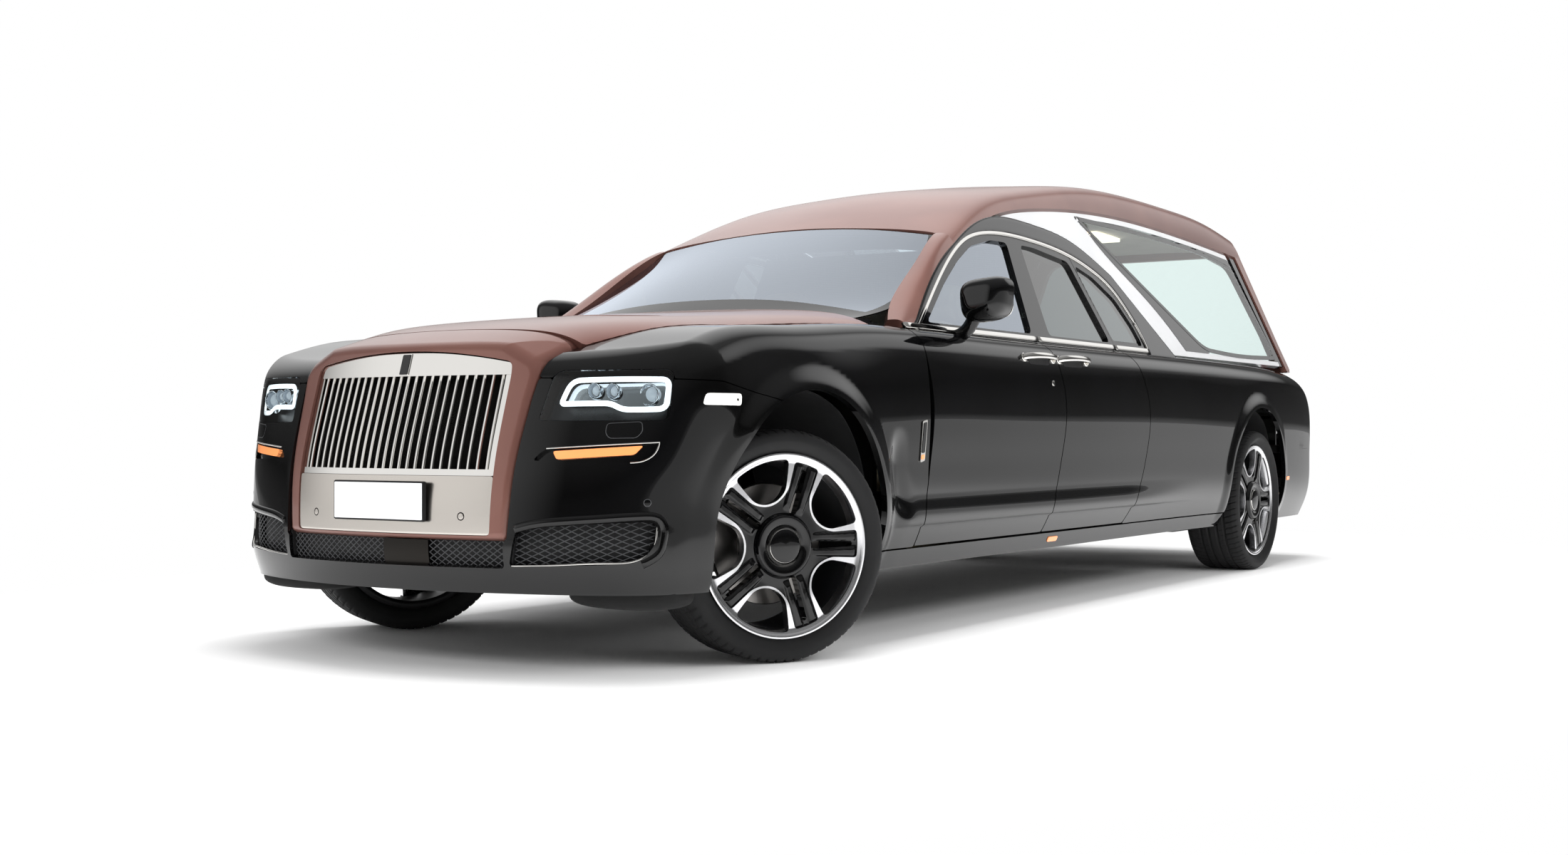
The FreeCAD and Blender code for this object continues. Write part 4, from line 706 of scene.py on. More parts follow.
def flank(start_s, end_s, low_z, reach_up=90.0, top_x=None, cell=CELL):
    """Skin of the left side between two stations, as points and faces."""
    s = np.linspace(start_s, end_s, int((end_s - start_s) / cell) + 1)
    start, aim = fan(low_z, reach_up, top_x)
    base = at(start[:, :1], s, start[:, 1:]).reshape(-1, 3)
    ray = np.repeat(np.insert(aim, 1, 0.0, axis=1), len(s), axis=0)
    return cast(body, base, ray), sheet_faces(len(start), len(s))


def grid_over(outline, cell):
    """A grid that covers an outline: both coordinates of its points, and its triangles."""
    low, high = np.min(outline, axis=0) - cell, np.max(outline, axis=0) + cell
    u, v = (np.linspace(low[i], high[i], int((high[i] - low[i]) / cell) + 3) for i in (0, 1))
    grid_u, grid_v = (part.ravel() for part in np.meshgrid(u, v))
    return grid_u, grid_v, sheet_faces(len(v), len(u))


def carried(field, u, z, view):
    """Points carried onto a skin: (x, z) straight ahead for "front", (station, z) outwards for "side"."""
    if view == "front":
        base, aim = at(u, CORNER_S, z), (0.0, -1.0, 0.0)
    else:
        base, aim = at(RING_X, u, z), (1.0, 0.0, 0.0)
    return cast(field, base, np.array(aim))


def skin_line(path, lift, view="front", field=body):
    """A line carried onto the skin, then moved off it by lift; also its normals."""
    points = carried(field, *np.transpose(path), view)
    normals = slope(field, points)
    return points + normals * lift, normals


def patch(shell, outline, lift, depth, mark=0, cell=0.004, sides=BOTH, field=body, view="front"):
    """A small piece that follows the skin: an outline seen from the front or side, lifted off it."""
    u, z, faces = grid_over(outline, cell)
    points = carried(field, u, z, view)
    seen = points[:, 1] - DATUM if view == "side" else points[:, 0]
    points, faces = trim(points, faces, within(outline, seen, points[:, 2]))
    normals = slope(field, points)
    points = points + normals * lift
    shell.skin(points, outward(points, faces, normals), normals, depth, mark, sides)


def outward(points, faces, normals):
    """The faces, turned round where they look against the normals."""
    flat = facets(points, faces)
    wrong = np.sum(flat * normals[faces[:, 0]], axis=1) < 0.0
    result = faces.copy()
    result[wrong] = faces[wrong][:, ::-1]
    return result


def skin_panel(shell, points, faces, field, keep, depth, mark=0, sides=BOTH, inward=None):
    """Trims a skin to where keep(x, s, z) is positive and adds it with turned-in edges."""
    points, faces = trim(points, faces, keep(*folded(points)))
    normals = slope(field, points)
    shell.skin(points, outward(points, faces, normals), normals, depth, mark, sides, inward)


def slab(shell, outline, holes=(), depth=0.0, thickness=0.02, cell=0.01, mark=0, sides=BOTH, crown=0.0):
    """A piece of the leaning side plane, depth below it, with holes; crown bulges it outwards."""
    s, z, faces = grid_over(outline, cell)

    def clear(s, z):
        """Distance inside the outline and outside its holes."""
        return np.minimum.reduce([within(outline, s, z)] + [-within(hole, s, z) for hole in holes])

    points, faces = trim(at(plane_x(z) - depth, s, z), faces, clear(s, z))
    if crown:
        share = 1.0 - np.clip(clear(points[:, 1] - DATUM, points[:, 2]) / 0.018, 0.0, 1.0)
        points = points + PLANE_NORMAL * (crown * np.sqrt(np.clip(1.0 - share ** 2, 0.0, 1.0)))[:, None]
    normals = np.tile(PLANE_NORMAL, (len(points), 1))
    faces = outward(points, faces, normals)
    if crown:
        normals = smooth_normals(points, faces)
    shell.skin(points, faces, normals, thickness, mark, sides)


def turns(count):
    """Angles of a full turn, without its end."""
    return np.linspace(0.0, 2 * math.pi, count, endpoint=False)


def circle(radius, count=12, flat=1.0):
    """A closed ellipse outline as (across, up)."""
    turn = turns(count)
    return np.stack([np.cos(turn) * radius, np.sin(turn) * radius * flat], 1)


def sweep(path, outline, up, closed=False):
    """Carries a closed outline along a path: across is path x up, rise is across x path."""
    path, outline = np.asarray(path, float), np.asarray(outline, float)
    tangent = (np.roll(path, -1, axis=0) - np.roll(path, 1, axis=0)) if closed else np.gradient(path, axis=0)
    tangent /= np.linalg.norm(tangent, axis=1)[:, None]
    across = np.cross(tangent, np.broadcast_to(up, path.shape))
    across /= np.linalg.norm(across, axis=1)[:, None]
    rise = np.cross(across, tangent)
    rings = path[:, None] + outline[None, :, :1] * across[:, None] + outline[None, :, 1:] * rise[:, None]
    rows, columns = rings.shape[:2]
    points = rings.reshape(-1, 3)
    faces = sheet_faces(rows, columns, wrap=True)
    if closed:
        seam = sheet_faces(2, columns, wrap=True)
        return points, np.concatenate([faces, np.where(seam < columns, seam + (rows - 1) * columns,
            seam - columns)])
    return points, np.concatenate([faces, end_caps(rows, columns)])


def end_caps(rows, columns):
    """Fans that close both ends of a wrapped grid."""
    ring, last = np.arange(1, columns), (rows - 1) * columns
    first_end = np.stack([np.zeros(columns - 2, int), ring[1:], ring[:-1]], 1)
    return np.concatenate([first_end, first_end[:, [0, 2, 1]] + last])


def solid(shell, points, faces, mark=0, flat=False, sides=LEFT):
    """Adds a closed form, turned so that its volume is positive."""
    a, b, c = points[faces[:, 0]], points[faces[:, 1]], points[faces[:, 2]]
    middle = points.mean(axis=0)
    if np.sum(np.cross(a - middle, b - middle) * (c - middle)) < 0.0:
        faces = faces[:, ::-1]
    shell.form(points, faces, mark, sides, flat)


def tube(shell, path, outline, up, mark=0, flat=False, sides=LEFT):
    """Adds an outline swept along a path as a closed form."""
    solid(shell, *sweep(path, outline, up), mark, flat, sides)


def block(shell, low, high, mark=0, sides=LEFT, round_off=0.003):
    """A box with softened edges: a superellipse ring in plan carried up with drawn-in ends."""
    low, high = np.asarray(low, float), np.asarray(high, float)
    cut = min(round_off, 0.45 * float(np.min(high - low)))
    ring = rounded([(low[0], low[1]), (high[0], low[1]), (high[0], high[1]), (low[0], high[1])], cut, 4)
    middle = (low[:2] + high[:2]) / 2
    inner = middle + (ring - middle) * (1.0 - cut / np.maximum(np.abs(ring - middle).max(axis=0), 1e-6))
    levels = [(inner, low[2]), (ring, low[2] + cut), (ring, high[2] - cut), (inner, high[2])]
    points = np.concatenate([np.column_stack([plan, np.full(len(plan), z)]) for plan, z in levels])
    faces = np.concatenate([sheet_faces(4, len(ring), wrap=True), end_caps(4, len(ring))])
    solid(shell, points, faces, mark, True, sides)


def turned(profile, count=96):
    """A profile of (x, radius) points turned about the X axis."""
    profile = np.asarray(profile, float)
    angle = turns(count)
    x, r = np.repeat(profile[:, 0], count), np.repeat(profile[:, 1], count)
    turn = np.tile(angle, len(profile))
    return np.stack([x, r * np.cos(turn), r * np.sin(turn)], 1), sheet_faces(len(profile), count, wrap=True)


# Shapes shared by several pieces

def seam_height(s):
    """Height of the seam between the fender and the bumper."""
    return np.interp(s, [-0.87, -0.425, -0.12, -0.06], [0.872, 0.857, 0.797, 0.78])


def belt_clear(x, z):
    """Distance outside the leaning side plane, which only counts above the shoulder."""
    return np.where(z > 0.975, x - plane_x(z) - 0.0005, 1.0)


def arch_clear(s, z, axle, radius):
    return np.hypot(s - axle, z - ARCH_Z) - radius


def beside_surround(x, s, z):
    """Distance outside the grille surround and the hood's edge."""
    edge = (weights(BODY[:, 0], s) @ BODY[:, 7])
    below = 0.392 - z
    side = x - np.where(z < 0.93, surround_x(z), np.maximum(edge, surround_x(z))) - 0.004
    return np.where(z < 0.5, np.maximum(side, below), side)


def front_holes(x, s, z, outlines):
    """Distance outside holes that are cut through the front skin."""
    value = np.full(x.shape, 1.0)
    for outline in outlines:
        value = np.minimum(value, -within(outline, x, z))
    return np.where(s < -0.42, value, 1.0)


LAMP_HOLE = rounded(HEADLAMP, [0.012, 0.03, 0.025, 0.02])
FLASHER_HOLE = rounded(FLASHER, [0.004, 0.03, 0.004, 0.02, 0.02, 0.02])
SIDE_INTAKE_HOLE = rounded(SIDE_INTAKE, [0.01, 0.03, 0.05, 0.05, 0.025, 0.03, 0.01])
MIDDLE_INTAKE_HOLE = rounded(rect(-0.44, 0.319, 0.44, 0.396), 0.008)
FRONT_DOOR = np.concatenate([along(FRONT_SHUT, 30), along(MIDDLE_SHUT, 40)[::-1]])
REAR_DOOR = np.concatenate([along(MIDDLE_SHUT, 40), along(REAR_SHUT, 30)[::-1]])
RAIL = along(RAIL_CURVE[1:-1], 60)
FRAME_TOP = along(FRAME_CURVE[:-1], 70)
BUMPER_SEAM = 5.276
TAIL_S = 5.2


def ray_corner(sign, ring_s, inner_x, low_z, reach_up, ring_z=RING_Z, ring_x=RING_X, field=body, cell=CELL):
    """Skin of a corner: rays straight ahead from inner_x, then turning to the side, and rising at the top."""
    x = np.linspace(inner_x, ring_x, max(2, int((ring_x - inner_x) / cell)), endpoint=False)
    turn = np.radians(np.linspace(0.0, 90.0, 52))
    plan_base = np.concatenate([x, np.full(len(turn), ring_x)])
    plan_x = np.concatenate([np.zeros(len(x)), np.sin(turn)])
    plan_y = sign * np.concatenate([np.ones(len(x)), np.cos(turn)])
    z = np.linspace(low_z, ring_z, max(2, int((ring_z - low_z) / cell)), endpoint=False)
    rise = np.radians(np.linspace(0.0, reach_up, max(2, int(reach_up / 90.0 * 38))))
    height = np.concatenate([z, np.full(len(rise), ring_z)])
    level = np.concatenate([np.zeros(len(z)), rise])
    base = at(plan_base, ring_s, height[:, None]).reshape(-1, 3)
    level = level[:, None]
    ray = np.stack(np.broadcast_arrays(plan_x * np.cos(level), plan_y * np.cos(level), np.sin(level)), -1)
    return cast(field, base, ray.reshape(-1, 3)), sheet_faces(len(height), len(plan_base))


def on_plane(path, depth=0.0):
    """(station, z) points put on the leaning side plane."""
    s, z = np.transpose(path)
    return at(plane_x(z) - depth, s, z)


def ellipsoid(centre, half, power=2.0, rows=24, columns=40, squash=None):
    """A superellipsoid: cosines and sines of both angles raised to 2/power keep their signs."""
    v = np.linspace(-math.pi / 2, math.pi / 2, rows)[:, None]
    u = turns(columns)[None, :]
    bend = 2.0 / power

    def curve(value):
        return np.sign(value) * np.abs(value) ** bend

    x, y = curve(np.cos(v)) * curve(np.cos(u)), curve(np.cos(v)) * curve(np.sin(u))
    z = curve(np.sin(v)) + 0 * u
    points = np.stack([x.ravel(), y.ravel(), z.ravel()], 1) * np.asarray(half)
    if squash:
        points = squash(points)
    return points + np.asarray(centre), sheet_faces(rows, columns, wrap=True)


# Operators: the stage

class HearseStageSettings(bpy.types.PropertyGroup):
    """Light level and camera of the studio."""
    lens: bpy.props.FloatProperty(name="Lens", description="Focal length", default=40.63, unit="CAMERA")
    lamp_power: bpy.props.FloatProperty(name="Lamp power", description="Power of the overhead soft box",
                                        default=420.0, unit="POWER")
    sky: bpy.props.FloatProperty(name="Sky", description="Level of the surrounding light", default=0.75)


class HearsePaintSettings(bpy.types.PropertyGroup):
    """Sizes that a user would change."""
    shut_depth: bpy.props.FloatProperty(name="Panel edge", description="Depth of turned-in panel edges",
                                        default=0.022, unit="LENGTH")
    wire: bpy.props.FloatProperty(name="Mesh wire", description="Width of the intake mesh's wires",
                                  default=0.0032, unit="LENGTH")


def floor():
    """A wide plain floor that turns to pure white away from the car."""
    size = 60.0
    mesh = bpy.data.meshes.new("floor")
    mesh.from_pydata([(-size, -size, 0), (size, -size, 0), (size, size, 0), (-size, size, 0)], [],
        [(0, 1, 2, 3)])
    floor = bpy.data.objects.new("floor", mesh)
    bpy.context.scene.collection.objects.link(floor)
    material, tree = blank("matt_white_studio_floor")
    radius = add(tree, "VectorMath", {0: place(tree), 1: (1.0, 0.62, 1.0)}, operation="MULTIPLY")
    length = add(tree, "VectorMath", {0: radius.outputs[0]}, operation="LENGTH")
    far = add(tree, "MapRange", {"Value": length.outputs["Value"], "From Min": 2.2, "From Max": 3.6},
        interpolation_type="SMOOTHSTEP")
    path = add(tree, "LightPath")
    seen = add(tree, "Math", {0: path.outputs["Is Camera Ray"], 1: far.outputs["Result"]},
        operation="MULTIPLY")
    matt = add(tree, "BsdfDiffuse", {"Color": shade("#F6F6F6")})
    white = add(tree, "Emission", {"Color": (1.0, 1.0, 1.0, 1.0), "Strength": 1.0})
    mix = add(tree, "MixShader", {0: seen.outputs[0], 1: matt.outputs[0], 2: white.outputs[0]})
    finish_with(tree, mix.outputs[0])
    mesh.materials.append(material)


def surroundings(scene, level):
    """White to the camera and through glass, a soft horizon-to-ceiling gradient to everything else."""
    world = bpy.data.worlds.new("studio")
    scene.world = world
    world.use_nodes = True
    tree = world.node_tree
    tree.nodes.clear()
    direction = add(tree, "TexCoord").outputs["Generated"]
    height = add(tree, "SeparateXYZ", {0: direction}).outputs["Z"]
    ramp = add(tree, "ValToRGB", {"Fac": add(tree, "MapRange", {"Value": height, "From Min": -0.1,
        "From Max": 0.9}).outputs["Result"]})
    stops = [(0.0, 0.95), (0.06, 0.8), (0.11, 0.1), (0.22, 0.04), (0.45, 0.18), (1.0, 0.35)]
    ramp.color_ramp.elements[0].position = stops[0][0]
    ramp.color_ramp.elements[1].position = stops[-1][0]
    for position, _ in stops[1:-1]:
        ramp.color_ramp.elements.new(position)
    for element, (_, value) in zip(ramp.color_ramp.elements, stops):
        element.color = (value, value, value, 1.0)
    path = add(tree, "LightPath")
    level_here = ramp.outputs["Color"]
    cards = [((-0.62, -0.75, 0.2), 0.72, 0.95, 1.0), ((0.26, 0.86, 0.44), 0.935, 0.99, 1.15),
        ((-0.53, 0.56, 0.63), 0.72, 0.97, 1.15)]
    for aim, start, full, strength in cards:
        dot = add(tree, "VectorMath", {0: direction, 1: aim}, operation="DOT_PRODUCT")
        glow = add(tree, "MapRange", {"Value": dot.outputs["Value"], "From Min": start, "From Max": full,
            "To Max": strength}, interpolation_type="SMOOTHSTEP")
        level_here = add(tree, "VectorMath", {0: level_here, 1: glow.outputs["Result"]},
            operation="MAXIMUM").outputs[0]
    mirrored_light = add(tree, "Background", {"Color": level_here, "Strength": 1.0})
    soft = add(tree, "Background", {"Color": (1.0, 1.0, 1.0, 1.0), "Strength": level})
    white = add(tree, "Background", {"Color": (1.0, 1.0, 1.0, 1.0), "Strength": 1.0})
    indirect = add(tree, "MixShader", {0: path.outputs["Is Glossy Ray"], 1: soft.outputs[0],
        2: mirrored_light.outputs[0]})
    direct = add(tree, "Math", {0: path.outputs["Is Camera Ray"], 1: path.outputs["Is Transmission Ray"]},
        operation="MAXIMUM")
    mix = add(tree, "MixShader", {0: direct.outputs[0], 1: indirect.outputs[0], 2: white.outputs[0]})
    tree.links.new(mix.outputs[0], add(tree, "OutputWorld").inputs["Surface"])


def soft_boxes(power):
    """One long soft box overhead, one on the near side and one ahead."""
    boxes = [("overhead", (0.0, 0.3, 4.6), (0.0, 0.0, 0.0), 3.2, 7.5, power),
        ("near_side", (6.0, -1.0, 3.4), (0.0, math.radians(62), 0.0), 1.6, 7.0, power * 0.35),
        ("ahead", (0.8, -7.5, 3.2), (math.radians(62), 0.0, 0.0), 4.5, 1.2, power * 0.25)]
    for name, location, turn, width, length, watts in boxes:
        data = bpy.data.lights.new(name, "AREA")
        data.shape, data.size, data.size_y, data.energy = "RECTANGLE", width, length, watts
        lamp = bpy.data.objects.new(name, data)
        lamp.location, lamp.rotation_euler = location, turn
        lamp.visible_glossy = False
        bpy.context.scene.collection.objects.link(lamp)


class HEARSE_OT_stage(bpy.types.Operator):
    """Pale floor, soft studio light and the camera"""
    bl_idname = "hearse.stage"
    bl_label = "Stage"

    def execute(self, context):
        settings = context.scene.hearse_stage
        floor()
        surroundings(context.scene, settings.sky)
        soft_boxes(settings.lamp_power)
        data = bpy.data.cameras.new("camera")
        data.lens = settings.lens
        data.sensor_width = 36.0
        data.clip_end = 200.0
        camera = bpy.data.objects.new("camera", data)
        camera.location = (3.838, DATUM - 4.635, 0.705)
        camera.rotation_euler = (math.radians(90.2), 0.0, math.radians(32.6))
        context.scene.collection.objects.link(camera)
        context.scene.camera = camera
        context.scene.view_settings.view_transform = "Standard"
        return {"FINISHED"}


# Operators: lacquered panels

class HEARSE_OT_nose(bpy.types.Operator):
    """Front bumper skin with its openings, and both front fenders"""
    bl_idname = "hearse.nose"
    bl_label = "Nose and fenders"

    def execute(self, context):
        depth = context.scene.hearse_paint.shut_depth
        holes = [LAMP_HOLE, FLASHER_HOLE, SIDE_INTAKE_HOLE, MIDDLE_INTAKE_HOLE]

        def bumper_keep(x, s, z):
            return np.minimum.reduce([seam_height(s) - 0.0015 - z, arch_clear(s, z, FRONT_AXLE, ARCH_R),
                beside_surround(x, s, z), front_holes(x, s, z, holes)])

        def fender_keep(x, s, z):
            above_seam = np.where(s < 0.1, z - seam_height(s) - 0.0015, 1.0)
            return np.minimum.reduce([above_seam, arch_clear(s, z, FRONT_AXLE, ARCH_R), beside_surround(x, s,
                z), front_holes(x, s, z, [LAMP_HOLE]), z - DOOR_LOW, -within(FRONT_DOOR, s,
                z) - SHUT_GAP / 2])

        shell = Shell()
        points, faces = ray_corner(-1, CORNER_S, 0.0, 0.245, 30.0)
        skin_panel(shell, points, faces, body, bumper_keep, depth)
        points, faces = flank(CORNER_S, 0.0, 0.245, 20.0)
        skin_panel(shell, points, faces, body, bumper_keep, depth)
        shell.build("bumper_skin", "black", ["front_bumper"])
        for sign, side in SIDES:
            points, faces = ray_corner(-1, CORNER_S, 0.44, 0.7, 90.0)
            skin_panel(shell, points, faces, body, fender_keep, depth, sides=(sign,))
            points, faces = flank(CORNER_S, 0.8, 0.3, 90.0, 0.52)
            skin_panel(shell, points, faces, body, fender_keep, depth, sides=(sign,))
            shell.build("fender_skin_" + side, "black", ["front_fender_" + side])
        return {"FINISHED"}


class HEARSE_OT_doors(bpy.types.Operator):
    """Door skins below the belt, window frames above it, and their panes"""
    bl_idname = "hearse.doors"
    bl_label = "Doors"

    def execute(self, context):
        depth = context.scene.hearse_paint.shut_depth
        doors = [("front_door", FRONT_DOOR, 0.7, 2.02, FRONT_PANE, "screen"),
            ("rear_door", REAR_DOOR, 1.76, 2.94, REAR_PANE, "dark_glass")]
        middle_top = (2.02, 1.52)
        front_frame = [p for p in FRAME_TOP if p[0] < 2.014] + [middle_top, (1.906, 1.1), (1.88, 1.05),
            (0.85, 1.05)]
        rear_frame = ([(1.88, 1.05), (1.906, 1.1),
            middle_top] + [p for p in FRAME_TOP if 2.026 < p[0] < 2.56] + [(2.575, 1.487), (2.712, BELT_Z),
            (2.716, 1.05)])
        frames = {"front_door": front_frame, "rear_door": rear_frame}
        for name, outline, start, end, pane, glass in doors:
            def keep(x, s, z, outline=outline):
                return np.minimum(within(outline, s, z) - SHUT_GAP / 2, belt_clear(x, z))

            points, faces = flank(start, end, 0.3, 90.0)
            pane_outline = rounded(pane, 0.03)
            for sign, side in SIDES:
                shell = Shell()
                skin_panel(shell, points, faces, body, keep, depth, sides=(sign,))
                slab(shell, np.array(frames[name]), [pane_outline], 0.001, 0.03, sides=(sign,))
                node = name + "_" + side
                shell.build(name + "_skin_" + side, "black", [node], node)
                slab(shell, rounded(pane, 0.03), [], 0.016, 0.004, sides=(sign,), cell=0.02)
                shell.build(name + "_pane_" + side, glass, [name + "_glass_" + side], node)
        return {"FINISHED"}


class HEARSE_OT_quarters(bpy.types.Operator):
    """Rear quarters with the rail that arches over the doors, the sills and the rear bumper"""
    bl_idname = "hearse.quarters"
    bl_label = "Quarters, sills and tail"

    def execute(self, context):
        depth = context.scene.hearse_paint.shut_depth
        lamp = rounded(rect(0.7, 0.7, 0.885, 0.93), 0.02)

        def quarter_keep(x, s, z):
            low = np.where(s < 4.2, z - DOOR_LOW, 1.0)
            tail = np.where(s > BUMPER_SEAM - 0.002, z - 0.622, 1.0)
            belt = np.where(s < 5.16, belt_clear(x, z), 1.0)
            gate = np.where(s > 5.16, x - 0.694, 1.0)
            lamps = np.where(s > 5.3, -within(lamp, x, z), 1.0)
            return np.minimum.reduce([low, tail, belt, gate, lamps, arch_clear(s, z, REAR_AXLE, REAR_ARCH_R),
                -within(REAR_DOOR, s, z) - SHUT_GAP / 2])

        def bumper_keep(x, s, z):
            return np.minimum(0.6212 - z, s - BUMPER_SEAM)

        side_points, side_faces = flank(2.6, TAIL_S, 0.245, 90.0, cell=0.012)
        tail_points, tail_faces = ray_corner(1, TAIL_S, 0.6, 0.6, 90.0)
        foot_points, foot_faces = flank(TAIL_S, 5.3, 0.245, 4.0)
        rail_outline = np.concatenate([[(0.812, 1.07)], RAIL, [(3.44, BELT_Z), (3.44, 1.05), (2.73, 1.05)]])
        opening = np.concatenate([FRAME_TOP, mm([(3094, 1066), (3094, 1040), (840, 1040)])])
        for sign, side in SIDES:
            shell = Shell()
            skin_panel(shell, side_points, side_faces, body, quarter_keep, depth, sides=(sign,))
            skin_panel(shell, tail_points, tail_faces, body, quarter_keep, depth, sides=(sign,))
            skin_panel(shell, foot_points, foot_faces, body, quarter_keep, depth, sides=(sign,))
            slab(shell, rail_outline, [opening], 0.0, 0.034, sides=(sign,), cell=0.007, crown=0.006)
            quarter_frame = [(2.58, 1.487)] + [p for p in FRAME_TOP if p[0] > 2.6] + [(3.094, 1.066),
                (2.718, 1.05)]
            slab(shell, np.array(quarter_frame), [rounded(QUARTER_PANE, 0.03)], 0.001, 0.03, sides=(sign,))
            shell.build("quarter_skin_" + side, "black", ["body_side_" + side])
        points, faces = flank(0.43, 4.0, 0.245, 2.0, cell=0.02)

        def sill_keep(x, s, z):
            return np.minimum.reduce([0.308 - z, arch_clear(s, z, FRONT_AXLE, ARCH_R), arch_clear(s, z,
                REAR_AXLE, REAR_ARCH_R)])

        skin_panel(shell, points, faces, body, sill_keep, 0.05)
        shell.build("sill_skins", "black", ["sills"])
        points, faces = ray_corner(1, TAIL_S, 0.0, 0.245, 2.0, 0.7)
        skin_panel(shell, points, faces, body, bumper_keep, depth)
        block(shell, (0.72, DATUM + 4.95, 0.6), (0.9, DATUM + 5.44, 0.64), 1, BOTH)
        shell.build("rear_bumper_skin", "black underseal", ["rear_bumper"])
        return {"FINISHED"}


class HEARSE_OT_hood(bpy.types.Operator):
    """Crowned hood in the roof's colour"""
    bl_idname = "hearse.hood"
    bl_label = "Hood"

    def execute(self, context):
        x = np.linspace(-0.84, 0.84, 121)
        s = np.linspace(-0.6, 0.72, 110)
        base = at(x, s[:, None], 0.8).reshape(-1, 3)

        def over(points):
            x, s, z = folded(points)
            return z - top_height(x, s)

        points = cast(over, base, np.array([0.0, 0.0, 1.0]))

        def keep(x, s, z):
            edge = weights(BODY[:, 0], s) @ BODY[:, 7]
            return np.minimum.reduce([edge - 0.004 - x, s + 0.56 - 0.1 * x ** 2, 0.69 - s])

        shell = Shell()
        skin_panel(shell, points, sheet_faces(len(s), len(x)), over, keep, 0.02, sides=LEFT,
            inward=(0, 0, -1))
        shell.build("hood_skin", "copper", ["hood"], "hood")
        return {"FINISHED"}


class HEARSE_OT_roof(bpy.types.Operator):
    """Roof skin with both front pillars and the rear corner pillars"""
    bl_idname = "hearse.roof"
    bl_label = "Roof and pillars"

    def execute(self, context):
        shell = Shell()
        station, cant_z, edge_x, edge_z, mid_z, crown_z = ROOF.T
        mid_x = np.full(len(ROOF), ROOF_MID_X)
        x_table = np.stack([-plane_x(cant_z), -edge_x, -mid_x, 0 * mid_x, mid_x, edge_x, plane_x(cant_z)], 1)
        z_table = np.stack([cant_z, edge_z, mid_z, crown_z, mid_z, edge_z, cant_z], 1)
        across = weights([-1.0, -0.72, -0.38, 0.0, 0.38, 0.72, 1.0], np.linspace(-1.0, 1.0, 141))
        s = np.linspace(1.442, 5.15, 260)
        lengthwise = weights(station, s)
        x, z = lengthwise @ x_table @ across.T, lengthwise @ z_table @ across.T
        points, faces = lofted(x, s, z)
        shell.panel(points, *looking(points, faces, 2), 0.03, inward=(0, 0, -1))
        t = np.linspace(PILLAR[0, 0], PILLAR[-1, 0], 70)
        row = weights(PILLAR[:, 0], t) @ PILLAR[:, 1:]
        out_z, in_x, in_z = row.T
        out_x = plane_x(out_z)
        middle_x, middle_z = (out_x + in_x) / 2 + 0.01, (out_z + in_z) / 2 + 0.016
        share = weights([0.0, 0.5, 1.0], np.linspace(0.0, 1.0, 15))
        x = np.stack([out_x, middle_x, in_x], 1) @ share.T
        z = np.stack([out_z, middle_z, in_z], 1) @ share.T
        pillar, faces = lofted(x, t, z)
        faces, _ = looking(pillar, faces, 2)
        keep = within(rect(0.8, 0.9, 1.441, 1.8), pillar[:, 1] - DATUM, pillar[:, 2])
        pillar, faces = trim(pillar, faces, keep)
        normals = smooth_normals(pillar, faces)
        shell.panel(pillar, faces, normals, 0.03, inward=(-0.5, 0, -0.8))
        shell.panel(*mirror_x(pillar, faces, normals), 0.03, inward=(0.5, 0, -0.8))
        rear = rounded(mm([(5098, 1700), (5155, 1700), (5240, 1060), (5176, 1052)]), 0.004)
        slab(shell, rear, [], -0.001, 0.03)
        shell.build("roof_skin", "copper", ["roof"])
        return {"FINISHED"}


def disc_at(shell, centre, aim, radius, thickness, mark=0, sides=LEFT, count=28):
    """A round button with a softened rim, its axis along aim."""
    aim = np.asarray(aim, float) / np.linalg.norm(aim)
    helper = np.array([0.0, 0.0, 1.0]) if abs(aim[2]) < 0.9 else np.array([1.0, 0.0, 0.0])
    across = np.cross(aim, helper)
    across /= np.linalg.norm(across)
    other = np.cross(aim, across)
    profile = [(-thickness, radius), (-0.15 * thickness, radius), (0.0, 0.86 * radius), (0.0, 0.02 * radius)]
    angle = turns(count)
    ring = np.cos(angle)[:, None] * across + np.sin(angle)[:, None] * other
    points = np.concatenate([np.asarray(centre) + aim * along_it + ring * r for along_it, r in profile])
    faces = sheet_faces(len(profile), count, wrap=True)
    faces = outward(points, faces, np.tile(aim, (len(points), 1)) + 0.01 * smooth_normals(points, faces))
    shell.form(points, faces, mark, sides)


def runs(inside):
    """Start and end of each unbroken run of true values."""
    padded = np.concatenate([[False], inside, [False]])
    change = np.flatnonzero(padded[1:] != padded[:-1])
    return list(zip(change[::2], change[1::2]))


def netting(shell, outline, wide, high, lift, width, mark=0, sides=LEFT):
    """Diamond netting behind an opening: two families of slanted wires, wide by high apart."""
    outline = np.asarray(outline, float)
    low, high_corner = outline.min(axis=0), outline.max(axis=0)
    rise = high / wide
    reach = (high_corner[1] - low[1]) / rise
    section = [(-width / 2, 0.0), (0.0, 0.5 * width), (width / 2, 0.0), (0.0, -0.5 * width)]
    for lean in (1.0, -1.0):
        first = low[0] - (reach if lean > 0 else 0.0)
        last = high_corner[0] + (0.0 if lean > 0 else reach)
        for start in np.arange(first, last, wide):
            z = np.linspace(low[1], high_corner[1], 34)
            x = start + lean * (z - low[1]) / rise
            for begin, end in runs(within(outline, x, z) > -0.004):
                if end - begin < 3:
                    continue
                points, normals = skin_line(np.stack([x, z], 1)[begin:end], lift)
                tube, faces = sweep(points, section, normals)
                solid(shell, tube, faces, mark, sides=sides)


